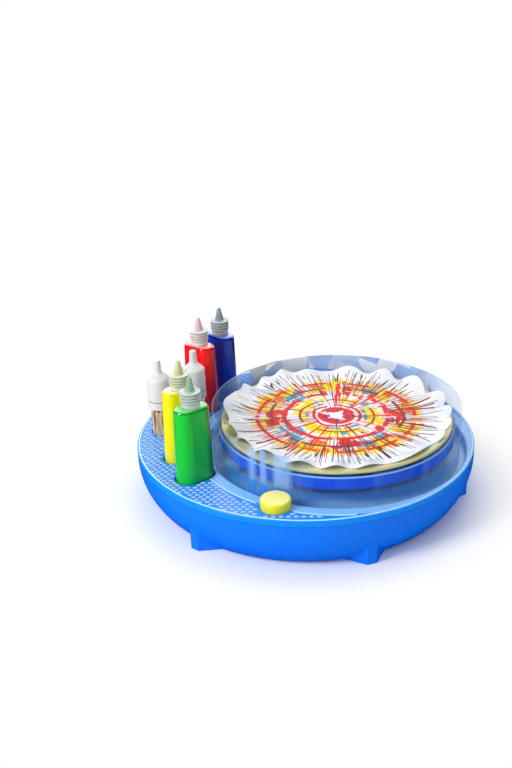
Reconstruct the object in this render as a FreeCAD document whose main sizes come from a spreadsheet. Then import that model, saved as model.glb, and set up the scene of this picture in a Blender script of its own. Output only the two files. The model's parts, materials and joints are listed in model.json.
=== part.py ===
import FreeCAD, Part
import Sketcher
import math
import os
import re

# Spin art machine, millimetres and degrees.
# Z is up, and the origin is the middle of the base on the surface that the feet stand on.
# +X points to the turntable's side and +Y to the back.

doc = FreeCAD.newDocument("spin_art_machine")
sheet = doc.addObject("Spreadsheet::Sheet", "Sizes")

sizes = {
    # base, shared by the cover and the shell
    "baseRadius": 145, "deckHeight": 47, "seamDrop": 5, "seamGap": 0.3, "sideStraight": 8.6,
    "sideTuck": 15, "shellLift": 2, "shellWall": 2.5, "shellFloor": 2.5,
    "footCount": 6, "footFirstAngle": 51, "footInset": 4, "footDepth": 19,
    "footFaceWidth": 7.7, "footFlare": 18, "footRise": 28,
    # cover
    "coverWall": 2.5, "deckThickness": 2.5, "deckEdgeRound": 1.2, "wellEdgeRound": 1.5,
    "lipWall": 2, "lipGap": 0.2, "lipDrop": 3.5,
    "turntableX": 26, "turntableY": -15,
    "wellInset": 35, "wellWall": 2.2, "wellDepth": 8.5, "wellFloor": 2.5,
    "pedestalRadius": 20, "pedestalHeight": 13, "pedestalWall": 2.4, "pedestalCore": 8,
    # screws that hold the cover and the shell together
    "coverScrewCount": 6, "coverScrewFirstAngle": 27, "coverScrewInset": 37,
    "screwPostRadius": 4.6, "postSplitDrop": 27, "pilotDepth": 10,
    "screwRadius": 1.5, "screwHeadRadius": 3, "screwHeadHeight": 2, "screwClearance": 0.3,
    "counterboreTop": 7,
    # paint bottles and their pockets
    "greenInset": 29, "greenAngle": 219.8, "yellowInset": 35.7, "yellowAngle": 201.9,
    "goldInset": 39.1, "goldAngle": 187.6, "copperInset": 19, "copperAngle": 176.9,
    "silverInset": 43.7, "silverAngle": 164.2, "redInset": 35.3, "redAngle": 149.3,
    "blueInset": 32.5, "blueAngle": 133.8,
    "pocketDepth": 14, "pocketWall": 2, "pocketFloor": 2, "pocketClearance": 1,
    "bottleLength": 33, "bottleWidth": 21, "bottleLean": 1.75, "bottleHeight": 76, "shoulderRound": 3.5,
    "bottleFootRound": 1.5, "neckRadius": 6.4, "neckHeight": 10,
    "collarSkirtRadius": 7.3, "collarSkirtHeight": 3.5, "collarRadius": 8.1, "collarHeight": 9.5,
    "collarChamfer": 1, "coneBaseRadius": 4, "coneTipRadius": 1.4, "coneHeight": 11.5, "spoutRadius": 0.7,
    "dropperRadius": 8, "dropperHeight": 36, "dropperRound": 1.5, "dropperNeckRadius": 6.5,
    "dropperNeckHeight": 12, "capGap": 2, "capRadius": 9.75, "capTopRadius": 9.5, "capHeight": 25.5,
    "capFlareHeight": 7.5, "capFlareSteps": 8, "capNoseRadius": 3.4, "capTipRadius": 2.9, "capTipHeight": 10,
    "capTipRound": 0.6,
    # turntable
    "trayGap": 10.5, "trayWall": 2.2, "trayRimRise": 20.5, "traySkirt": 11, "rimWidth": 5.8,
    "rimRound": 2, "troughDepth": 4, "troughWidth": 15.5, "platformRise": 21, "hubRadius": 12,
    "hubGap": 1, "platterInset": 2, "platterThickness": 3, "platterRound": 1.2,
    "paperRuffle": 29, "paperInset": 6.5, "paperWave": 4, "paperLift": 4.2, "paperThickness": 0.4,
    "paperWaves": 11,
    "spindleRadius": 3, "spindleTail": 7, "spindleHoleDepth": 12, "trayScrewWeb": 4,
    "trayScrewHeadRadius": 4, "runningFit": 0.05, "bushRadius": 5, "bushLength": 7, "bushFlange": 7,
    "bushFlangeHeight": 0.7, "clipRadius": 5.5, "clipThickness": 0.8, "clipGap": 0.5,
    # splash guard
    "guardGap": 5.5, "guardHeight": 45, "filmThickness": 0.5, "guardLapAngle": 232.6,
    "guardLapWidth": 11,
    # gear train
    "gearModule": 0.8, "pinionTeeth": 10, "idlerLargeTeeth": 32, "idlerSmallTeeth": 14,
    "spindleTeeth": 42, "backlash": 0.28, "gearThickness": 4, "lowerGearLift": 3.1,
    "upperGearLift": 4.9, "idlerAngle": 60, "motorAngle": 120, "gearHubRadius": 6.5,
    "axleRadius": 1.25, "axleBossRadius": 4,
    "plateDrop": 13.5, "plateThickness": 2, "plateLength": 52, "plateWidth": 74, "plateCorner": 8,
    "platePostInset": 5, "platePostRadius": 4, "plateBossRadius": 8, "plateBossDrop": 4,
    "motorRadius": 12.2, "motorHeight": 12.3, "motorShaftRadius": 1, "motorScrewReach": 8,
    "motorScrewRadius": 1, "motorScrewHeadRadius": 1.8, "motorScrewHeadHeight": 0.9,
    "motorNoseRadius": 3, "motorNoseHeight": 1, "motorScrewDepth": 3, "shaftDepth": 4, "shaftStub": 1.5,
    # power button and switch
    "buttonOut": 8.5, "buttonAngle": 245.4, "buttonRadius": 12, "buttonRise": 8, "buttonRound": 1.8,
    "buttonGap": 0.3, "buttonTravel": 3, "buttonGuideWall": 1.1, "buttonWall": 2, "stemRadius": 2.8,
    "buttonSkirt": 6.5, "cupDrop": 12, "cupRadius": 11.4, "cupBore": 9.6, "cupFloorDrop": 21.5,
    "cupFloor": 2, "stemTail": 2.1, "clipDrop": 0.4, "buttonClipRadius": 5.5, "buttonClipThickness": 0.9,
    "springRadius": 6, "springWire": 0.8, "springTurns": 7,
    "switchTurn": -10.8, "switchSide": 8.5, "switchHeight": 7, "switchDrop": 12.5, "switchFloor": 0.6,
    "plungerRadius": 1.8, "bracketLength": 24, "bracketWidth": 8, "bracketThickness": 2,
    # batteries
    "batteryX": -52, "batteryY": 0, "cavityLength": 61.5, "cavityWidth": 58, "cavityHeight": 18.5,
    "cavityWall": 2, "cellRadius": 7.2, "cellLength": 49.2, "cellNub": 1.3, "cellNubRadius": 2.75,
    "cellPitch": 15.2, "cellCount": 4, "cellHeight": 12.4, "contactThickness": 0.4, "contactSize": 11,
    "contactCoilRadius": 4,
    "doorRecess": 1.5, "doorMargin": 2.5, "doorGap": 0.3, "doorEar": 9, "doorRib": 1.2,
    "batteryPostRadius": 4, "batteryPostHeight": 14, "batteryPostReach": 3.2, "doorSeat": 0.9,
    # wires
    "leadRadius": 0.8,
}
for row, (alias, value) in enumerate(sizes.items(), start=1):
    sheet.set("A%d" % row, alias)
    sheet.set("B%d" % row, str(value))
    sheet.setAlias("B%d" % row, alias)
doc.recompute()

# sizes that follow from the ones above
derived = {
    "bottomRadius": "baseRadius - sideTuck",
    "footOuterRadius": "baseRadius - footInset",
    "footInnerRadius": "footOuterRadius - footDepth",
    "wellRadius": "baseRadius - wellInset",
    "coverScrewRing": "baseRadius - coverScrewInset",
    "postSplit": "deckHeight - postSplitDrop",
    "wellTop": "deckHeight - wellDepth",
    "wellUnder": "wellTop - wellFloor",
    "trayRadius": "wellRadius - trayGap",
    "platformRadius": "trayRadius - troughWidth",
    "platterRadius": "trayRadius - platterInset",
    "paperRadius": "platterRadius - paperInset",
    "paperFlatRadius": "paperRadius - paperRuffle",
    "guardRadius": "wellRadius - guardGap",
    "plateHeight": "wellUnder - plateDrop",
    "lowerGearHeight": "plateHeight + lowerGearLift",
    "upperGearHeight": "lowerGearHeight + upperGearLift",
    "spindleBottom": "plateHeight - spindleTail",
    "buttonReach": "wellRadius + buttonOut",
    "buttonGuideRadius": "buttonRadius + buttonGap + buttonGuideWall",
    "cupFloorHeight": "deckHeight - cupFloorDrop",
    "stemBottom": "cupFloorHeight - stemTail",
    "switchBottom": "cupFloorHeight - switchDrop",
}


def formula(text):
    """The same words with derived sizes written out and the sheet's name before each alias."""
    def written_out(word):
        if word[0] in derived:
            return "(%s)" % formula(derived[word[0]])
        return "Sizes." + word[0] if word[0] in sizes else word[0]

    return re.sub(r"[A-Za-z]\w*", written_out, str(text))


def size(text):
    """What a size or a formula comes to."""
    return float(sheet.evalExpression(formula(text)))


def bind(item, **formulas):
    for name, text in formulas.items():
        item.setExpression(name, formula(text))


def place(item, x=0, y=0, z=0, turn=0):
    """Ties the item's place to the sheet, turned about Z."""
    for name, text in (("Base.x", x), ("Base.y", y), ("Base.z", z), ("Rotation.Angle", turn)):
        item.setExpression("Placement." + name, formula(text))
    return item


def cylinder(radius, height, x=0, y=0, z=0):
    item = doc.addObject("Part::Cylinder", "cylinder")
    bind(item, Radius=radius, Height=height)
    return place(item, x, y, z)


def box(length, width, height, x=0, y=0, z=0, turn=0):
    """A box with its low corner at x, y, z."""
    item = doc.addObject("Part::Box", "box")
    bind(item, Length=length, Width=width, Height=height)
    return place(item, x, y, z, turn)


def fuse(*items):
    item = doc.addObject("Part::MultiFuse", "fuse")
    item.Shapes = list(items)
    item.Refine = True
    return item


def cut(base, *tools):
    item = doc.addObject("Part::Cut", "cut")
    item.Base = base
    item.Tool = tools[0] if len(tools) == 1 else fuse(*tools)
    return item


def common(base, tool):
    item = doc.addObject("Part::Common", "common")
    item.Base = base
    item.Tool = tool
    return item


def group(*items):
    item = doc.addObject("Part::Compound", "group")
    item.Links = list(items)
    return item


def tube(outer, inner, height, x=0, y=0, z=0):
    return cut(cylinder(outer, height, x, y, z), cylinder(inner, height, x, y, z))


def round_edges(item, alias, chosen):
    """Rounds the edges for which chosen(edge) is true."""
    doc.recompute()
    rounded = doc.addObject("Part::Fillet", "fillet")
    rounded.Base = item
    radius = size(alias)
    rounded.Edges = [(i, radius, radius) for i, edge in enumerate(item.Shape.Edges, start=1) if chosen(edge)]
    return rounded


def level_edge(edge, height):
    """True where the whole edge lies at one height."""
    bounds = edge.BoundBox
    return abs(bounds.ZMin - height) < 0.01 and abs(bounds.ZMax - height) < 0.01


def rounded_block(length, width, corner, height):
    """An upright block with round corners, centred on the Z axis."""
    across, along = "(%s) / 2" % length, "(%s) / 2" % width
    items = [box(length, "%s - 2 * (%s)" % (width, corner), height,
                 "-%s" % across, "-(%s - (%s))" % (along, corner)),
             box("%s - 2 * (%s)" % (length, corner), width, height,
                 "-(%s - (%s))" % (across, corner), "-%s" % along)]
    for side in (-1, 1):
        for end in (-1, 1):
            items.append(cylinder(corner, height, "%d * (%s - (%s))" % (side, across, corner),
                                  "%d * (%s - (%s))" % (end, along, corner)))
    return fuse(*items)


def oval_block(length, width, height, lean="0"):
    """An upright block with half-round ends, centred on the Z axis; its sides lean in by this much."""
    run = "((%s) - (%s)) / 2" % (length, width)
    middle = doc.addObject("Part::Wedge", "oval_middle")
    bind(middle, Xmin="-%s" % run, Xmax=run, X2min="-%s" % run, X2max=run, Ymin=0, Ymax=height,
         Zmin="-(%s) / 2" % width, Zmax="(%s) / 2" % width,
         Z2min="%s - (%s) / 2" % (lean, width), Z2max="(%s) / 2 - %s" % (width, lean))
    middle.Placement.Rotation = FreeCAD.Rotation(FreeCAD.Vector(1, 0, 0), 90)
    ends = []
    for side in (-1, 1):
        end = doc.addObject("Part::Cone", "oval_end")
        bind(end, Radius1="(%s) / 2" % width, Radius2="(%s) / 2 - %s" % (width, lean), Height=height)
        ends.append(place(end, "%d * %s" % (side, run)))
    return fuse(middle, *ends)


def lathe(name, outline):
    """A body turned about its Z axis from a sketch; outline is (radius, height) formulas in order."""
    body = doc.addObject("PartDesign::Body", name)
    plane = [item for item in body.Origin.OriginFeatures if item.Role == "XZ_Plane"][0]
    sketch = body.newObject("Sketcher::SketchObject", name + "_outline")
    sketch.AttachmentSupport = [(plane, "")]
    sketch.MapMode = "FlatFace"
    count = len(outline)
    corners = []
    for i in range(count):
        angle = 2 * math.pi * i / count
        corners.append(FreeCAD.Vector(30 + 20 * math.cos(angle), 30 + 20 * math.sin(angle), 0))
    for i in range(count):
        sketch.addGeometry(Part.LineSegment(corners[i], corners[(i + 1) % count]), False)
    for i in range(count):
        sketch.addConstraint(Sketcher.Constraint("Coincident", i, 2, (i + 1) % count, 1))
    for i, (radius, height) in enumerate(outline):
        if radius == 0:
            sketch.addConstraint(Sketcher.Constraint("PointOnObject", i, 1, -2))
        else:
            across = sketch.addConstraint(Sketcher.Constraint("DistanceX", -1, 1, i, 1, corners[i].x))
            sketch.setExpression("Constraints[%d]" % across, formula(radius))
        up = sketch.addConstraint(Sketcher.Constraint("DistanceY", -1, 1, i, 1, corners[i].y))
        sketch.setExpression("Constraints[%d]" % up, formula(height))
    turned = body.newObject("PartDesign::Revolution", name + "_turned")
    turned.Profile = sketch
    turned.ReferenceAxis = (sketch, ["V_Axis"])
    turned.Angle = 360
    body.Tip = turned
    return body


def round_rings(body, radius, rings):
    """Rounds a turned body's edges at these (radius, height) places, given as numbers."""
    doc.recompute()
    last = body.Tip
    names = []
    for i, edge in enumerate(last.Shape.Edges, start=1):
        if not isinstance(edge.Curve, Part.Circle):
            continue
        for ring, height in rings:
            if abs(edge.Curve.Radius - ring) < 0.01 and level_edge(edge, height):
                names.append("Edge%d" % i)
    rounded = body.newObject("PartDesign::Fillet", body.Name + "_round")
    rounded.Base = (last, names)
    rounded.setExpression("Radius", formula(radius))
    body.Tip = rounded
    return body


nodes = []


def node(item, label):
    """Keeps a finished piece under the name of its file."""
    item.Label = label
    nodes.append(item)
    return item


def polar(radius, angle, centre=("0", "0")):
    """x and y formulas of a point at this radius and angle from a centre."""
    return ("%s + (%s) * cos(%s)" % (centre[0], radius, angle),
            "%s + (%s) * sin(%s)" % (centre[1], radius, angle))


# places that more than one piece uses
turntable = ("turntableX", "turntableY")
deckUnder = "deckHeight - deckThickness"
seamHeight = "deckHeight - seamDrop"
bendTop = "deckHeight - sideStraight"
bendDrop = "(deckHeight - sideStraight - shellLift)"
tuck = "(baseRadius - bottomRadius)"
bendRadius = "(%s ^ 2 + %s ^ 2) / (2 * %s)" % (bendDrop, tuck, tuck)
pedestalTop = "wellTop + pedestalHeight"
floorTop = "shellLift + shellFloor"
idlerReach = "gearModule * (spindleTeeth + idlerSmallTeeth) / 2"
idler = polar(idlerReach, "idlerAngle", turntable)
motorReach = "gearModule * (pinionTeeth + idlerLargeTeeth) / 2"
motor = polar(motorReach, "motorAngle", idler)
button = polar("buttonReach", "buttonAngle", turntable)
coverScrews = [polar("coverScrewRing", "coverScrewFirstAngle + %d * 360 / coverScrewCount" % i)
               for i in range(int(size("coverScrewCount")))]
plateMiddle = ("turntableX + 5", "turntableY + 14")
plateScrews = [("%s + %d * (plateLength / 2 - platePostInset)" % (plateMiddle[0], side),
                "%s + %d * (plateWidth / 2 - platePostInset)" % (plateMiddle[1], end))
               for side in (-1, 1) for end in (-1, 1)]
pocketBottom = "deckHeight - pocketDepth"
big_bottles = ("green", "yellow", "red", "blue")
droppers = ("copper", "silver", "gold")
bottle_places = {name: polar("baseRadius - %sInset" % name, name + "Angle") for name in big_bottles + droppers}
doorScrew = ("batteryX", "batteryY + cavityWidth / 2 + cavityWall + batteryPostReach")


def screw(shank, length, head, thick, x, y, z, down=False):
    """A pan head screw whose head meets its seat at height z; its shank goes up, or down."""
    side = -1 if down else 1
    shank_bottom = z if side == 1 else "%s - (%s)" % (z, length)
    head_bottom = "%s - (%s)" % (z, thick) if side == 1 else z
    return fuse(cylinder(shank, length, x, y, shank_bottom), cylinder(head, thick, x, y, head_bottom))


def bowl(inset, low, high):
    """The base's outer form, moved in by inset, between two heights."""
    ring = doc.addObject("Part::Torus", "side_bend")
    bind(ring, Radius1="baseRadius - %s" % bendRadius, Radius2="%s - %s" % (bendRadius, inset))
    place(ring, z=bendTop)
    core = cylinder("baseRadius - %s" % bendRadius, "%s - (%s)" % (bendTop, low), z=low)
    lower = common(fuse(ring, core), cylinder("baseRadius", "%s - (%s)" % (bendTop, low), z=low))
    upper = cylinder("baseRadius - %s" % inset, "%s - (%s)" % (high, bendTop), z=bendTop)
    return fuse(lower, upper)


def make_base_shell():
    top = "%s - seamGap" % seamHeight
    feet = []
    for i in range(int(size("footCount"))):
        foot = doc.addObject("Part::Wedge", "foot")
        bind(foot, Ymin="footInnerRadius", Ymax="footOuterRadius", Zmin=0, Zmax="footRise",
             Z2min=0, Z2max="footRise", X2min="-footFaceWidth / 2", X2max="footFaceWidth / 2",
             Xmin="-footFaceWidth / 2 - footFlare", Xmax="footFaceWidth / 2 + footFlare")
        place(foot, turn="footFirstAngle - 90 + %d * 360 / footCount" % i)
        feet.append(foot)
    outside = fuse(bowl("0", "shellLift", top), *feet)
    shell = cut(outside, bowl("shellWall", floorTop, "%s + 1" % top))
    posts = [cylinder("screwPostRadius", "postSplit - (%s)" % floorTop, x, y, floorTop) for x, y in coverScrews]
    walls = box("cavityLength + 2 * cavityWall", "cavityWidth + 2 * cavityWall",
                "cavityHeight + cavityWall - shellFloor",
                "batteryX - cavityLength / 2 - cavityWall", "batteryY - cavityWidth / 2 - cavityWall", floorTop)
    door_post = cylinder("batteryPostRadius", "batteryPostHeight - (%s)" % floorTop,
                         doorScrew[0], doorScrew[1], floorTop)
    cavity = box("cavityLength", "cavityWidth", "cavityHeight", "batteryX - cavityLength / 2",
                 "batteryY - cavityWidth / 2", "shellLift")
    recess = fuse(box("cavityLength + 2 * doorMargin", "cavityWidth + 2 * doorMargin", "doorRecess",
                      "batteryX - cavityLength / 2 - doorMargin", "batteryY - cavityWidth / 2 - doorMargin",
                      "shellLift"),
                  cylinder("doorEar", "doorRecess", doorScrew[0], doorScrew[1], "shellLift"))
    holes = [cylinder("screwRadius", "batteryPostHeight - shellLift", doorScrew[0], doorScrew[1], "shellLift")]
    head_hole = "screwHeadRadius + screwClearance"
    shank_hole = "screwRadius + screwClearance"
    for x, y in coverScrews:
        holes.append(cylinder(head_hole, "counterboreTop - shellLift", x, y, "shellLift"))
        holes.append(cylinder(shank_hole, "postSplit - shellLift", x, y, "shellLift"))
    node(cut(fuse(shell, walls, door_post, *posts), cavity, recess, *holes), "base_shell")


def make_battery_parts():
    plate = box("cavityLength + 2 * doorMargin - 2 * doorGap", "cavityWidth + 2 * doorMargin - 2 * doorGap",
                "doorRecess", "batteryX - cavityLength / 2 - doorMargin + doorGap",
                "batteryY - cavityWidth / 2 - doorMargin + doorGap", "shellLift")
    rib = box("cavityLength - 2 * doorGap", "cavityWidth - 2 * doorGap", "doorRecess + doorRib",
              "batteryX - cavityLength / 2 + doorGap", "batteryY - cavityWidth / 2 + doorGap", "shellLift")
    ear = cylinder("doorEar - doorGap", "doorRecess", doorScrew[0], doorScrew[1], "shellLift")
    hole = cylinder("screwRadius + screwClearance", "doorRecess", doorScrew[0], doorScrew[1], "shellLift")
    seat = "doorSeat"
    pocket = cylinder("screwHeadRadius", seat, doorScrew[0], doorScrew[1], "shellLift")
    node(cut(fuse(plate, rib, ear), hole, pocket), "battery_door")
    node(screw("screwRadius", "batteryPostHeight - shellLift - 3", "screwHeadRadius - 0.2", seat,
               doorScrew[0], doorScrew[1], "shellLift + %s" % seat), "battery_door_screw")
    cells = []
    plates = []
    springs = []
    count = int(size("cellCount"))
    middle = (count - 1) / 2
    far_wall = "cavityWidth / 2"
    for i in range(count):
        x = "batteryX + %s * cellPitch" % (i - middle)
        side = 1 if i % 2 == 0 else -1
        nub_end = "batteryY + %d * (%s - contactThickness)" % (side, far_wall)
        cell = fuse(cylinder("cellRadius", "cellLength"),
                    cylinder("cellNubRadius", "cellNub", z="cellLength"))
        cell.Placement.Rotation = FreeCAD.Rotation(FreeCAD.Vector(1, 0, 0), -90 * side)
        for name, text in (("x", x), ("y", "%s - %d * (cellLength + cellNub)" % (nub_end, side)),
                           ("z", "cellHeight")):
            cell.setExpression("Placement.Base." + name, formula(text))
        cells.append(cell)
        for end in (-1, 1):
            low = "batteryY + %s - contactThickness" % far_wall if end == 1 else "batteryY - %s" % far_wall
            plates.append(box("contactSize", "contactThickness", "contactSize",
                              "%s - contactSize / 2" % x, low, "cellHeight - contactSize / 2"))
        gap = "cavityWidth - 2 * contactThickness - cellLength - cellNub"
        coil = tube("contactCoilRadius", "contactCoilRadius - 2 * contactThickness",
                    "%s - 2 * runningFit" % gap)
        coil.Placement.Rotation = FreeCAD.Rotation(FreeCAD.Vector(1, 0, 0), -90 * side)
        spring_end = "batteryY - %d * (%s - contactThickness - runningFit)" % (side, far_wall)
        for name, text in (("x", x), ("y", spring_end), ("z", "cellHeight")):
            coil.setExpression("Placement.Base." + name, formula(text))
        springs.append(coil)
    node(group(*cells), "battery_cells")
    node(group(*plates), "contact_plates")
    node(group(*springs), "contact_springs")


def make_top_cover():
    gx, gy = turntable
    skirt = tube("baseRadius", "baseRadius - coverWall", "seamDrop", z=seamHeight)
    deck = cylinder("baseRadius", "deckThickness", z=deckUnder)
    cup = cylinder("wellRadius + wellWall", "wellDepth + wellFloor", gx, gy, "wellUnder")
    well = cylinder("wellRadius", "wellDepth", gx, gy, "wellTop")
    deck_height = size("deckHeight")
    plain = cut(fuse(skirt, deck, cup), well)
    plain = round_edges(plain, "deckEdgeRound", lambda edge: level_edge(edge, deck_height)
                        and abs(edge.Curve.Radius - size("baseRadius")) < 0.01)
    plain = round_edges(plain, "wellEdgeRound", lambda edge: level_edge(edge, deck_height)
                        and abs(edge.Curve.Radius - size("wellRadius")) < 0.01)
    lip = tube("baseRadius - coverWall - lipGap", "baseRadius - coverWall - lipGap - lipWall",
               "lipDrop + seamDrop - deckThickness / 2", z="%s - lipDrop" % seamHeight)
    solids = [plain, lip]
    holes = []
    for x, y in coverScrews:
        solids.append(cylinder("screwPostRadius", "wellUnder - postSplit", x, y, "postSplit"))
        post = cylinder("screwPostRadius", "deckHeight - deckThickness / 2 - postSplit", x, y, "postSplit")
        solids.append(cut(post, cylinder("wellRadius", "wellDepth", gx, gy, "wellTop")))
        holes.append(cylinder("screwRadius", "pilotDepth", x, y, "postSplit"))
    for x, y in plateScrews:
        post_height = "wellUnder - plateHeight - plateThickness + wellFloor / 2"
        solids.append(cylinder("platePostRadius", post_height, x, y, "plateHeight + plateThickness"))
        holes.append(cylinder("screwRadius", "pilotDepth", x, y, "plateHeight + plateThickness"))
    solids.append(cylinder("axleBossRadius", "wellFloor / 2 + 1", idler[0], idler[1], "wellUnder - 1"))
    holes.append(cylinder("axleRadius", 2, idler[0], idler[1], "wellUnder - 1"))
    for colour in big_bottles:
        x, y = bottle_places[colour]
        outer = oval_block("bottleLength + 2 * pocketClearance + 2 * pocketWall",
                           "bottleWidth + 2 * pocketClearance + 2 * pocketWall",
                           "pocketDepth + pocketFloor - deckThickness / 2")
        inner = oval_block("bottleLength + 2 * pocketClearance", "bottleWidth + 2 * pocketClearance",
                           "pocketDepth")
        solids.append(place(outer, x, y, "%s - pocketFloor" % pocketBottom, colour + "Angle"))
        holes.append(place(inner, x, y, pocketBottom, colour + "Angle"))
    for metal in droppers:
        x, y = bottle_places[metal]
        solids.append(cylinder("dropperRadius + pocketClearance + pocketWall",
                               "pocketDepth + pocketFloor - deckThickness / 2", x, y,
                               "%s - pocketFloor" % pocketBottom))
        holes.append(cylinder("dropperRadius + pocketClearance", "pocketDepth", x, y, pocketBottom))
    bx, by = button
    guide_bottom = "deckHeight - cupDrop"
    solids.append(cylinder("buttonGuideRadius", "cupDrop", bx, by, guide_bottom))
    solids.append(cylinder("cupRadius", "%s - cupFloorHeight" % guide_bottom, bx, by, "cupFloorHeight"))
    step = "%s + cupFloor" % guide_bottom
    holes.append(cylinder("buttonRadius + buttonGap", "cupDrop - cupFloor", bx, by, step))
    cup_floor_top = "cupFloorHeight + cupFloor"
    holes.append(cylinder("cupBore", "%s - (%s)" % (step, cup_floor_top), bx, by, cup_floor_top))
    holes.append(cylinder("stemRadius + buttonGap", "cupFloor", bx, by, "cupFloorHeight"))
    body = cut(fuse(*solids), *holes)
    pedestal = cylinder("pedestalRadius", "pedestalHeight + wellFloor / 2", gx, gy,
                        "wellTop - wellFloor / 2")
    hollow = tube("pedestalRadius - pedestalWall", "pedestalCore",
                  "pedestalHeight + wellFloor - pedestalWall", gx, gy, "wellUnder")
    bush_seat = cylinder("bushRadius", "bushLength", gx, gy, "%s - bushLength" % pedestalTop)
    spindle_hole = cylinder("spindleRadius + 1", "pedestalHeight + wellFloor", gx, gy, "wellUnder")
    node(cut(fuse(body, pedestal), hollow, bush_seat, spindle_hole), "top_cover")


def make_bottles():
    top = size("bottleHeight")
    for colour in big_bottles:
        x, y = bottle_places[colour]
        angle = colour + "Angle"
        block = oval_block("bottleLength", "bottleWidth", "bottleHeight", "bottleLean")
        block = round_edges(block, "shoulderRound", lambda edge: level_edge(edge, top))
        block = round_edges(block, "bottleFootRound", lambda edge: level_edge(edge, 0))
        bottle = fuse(block, cylinder("neckRadius", "neckHeight", z="bottleHeight - 0.5"))
        node(place(bottle, x, y, pocketBottom, angle), "bottle_" + colour)
        seat = "bottleHeight"
        skirt_top = seat + " + collarSkirtHeight"
        collar_top = skirt_top + " + collarHeight"
        nozzle = lathe("nozzle_" + colour, [
            ("neckRadius", seat), ("collarSkirtRadius", seat), ("collarSkirtRadius", skirt_top),
            ("collarRadius", skirt_top), ("collarRadius", collar_top + " - collarChamfer"),
            ("collarRadius - collarChamfer", collar_top), ("coneBaseRadius", collar_top),
            ("coneTipRadius", collar_top + " + coneHeight"), ("spoutRadius", collar_top + " + coneHeight"),
            ("spoutRadius", seat + " + neckHeight"), ("neckRadius", seat + " + neckHeight")])
        node(place(nozzle, x, y, pocketBottom, angle), "nozzle_" + colour)


def make_droppers():
    for metal in droppers:
        x, y = bottle_places[metal]
        neck_top = "dropperHeight + dropperNeckHeight"
        bottle = lathe("dropper_" + metal, [
            (0, 0), ("dropperRadius - dropperRound", 0), ("dropperRadius", "dropperRound"),
            ("dropperRadius", "dropperHeight - dropperRound"),
            ("dropperRadius - dropperRound", "dropperHeight"), ("dropperNeckRadius", "dropperHeight"),
            ("dropperNeckRadius", neck_top), (0, neck_top)])
        node(place(bottle, x, y, pocketBottom), "dropper_" + metal)
        low = "dropperHeight + capGap"
        flare = low + " + capHeight"
        nose = flare + " + capFlareHeight"
        tip = nose + " + capTipHeight"
        steps = int(size("capFlareSteps"))
        soft_flare = []
        for i in range(1, steps):
            share = "(1 + cos(180 * %d / capFlareSteps)) / 2" % i
            soft_flare.append(("capNoseRadius + (capTopRadius - capNoseRadius) * %s" % share,
                               flare + " + capFlareHeight * %d / capFlareSteps" % i))
        cap = lathe("dropper_cap_" + metal, [
            ("dropperNeckRadius", low), ("capRadius", low), ("capTopRadius", flare), *soft_flare,
            ("capNoseRadius", nose), ("capTipRadius", tip + " - capTipRound"),
            ("capTipRadius - capTipRound", tip), (0, tip), (0, neck_top), ("dropperNeckRadius", neck_top)])
        node(place(cap, x, y, pocketBottom), "dropper_cap_" + metal)


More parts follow.
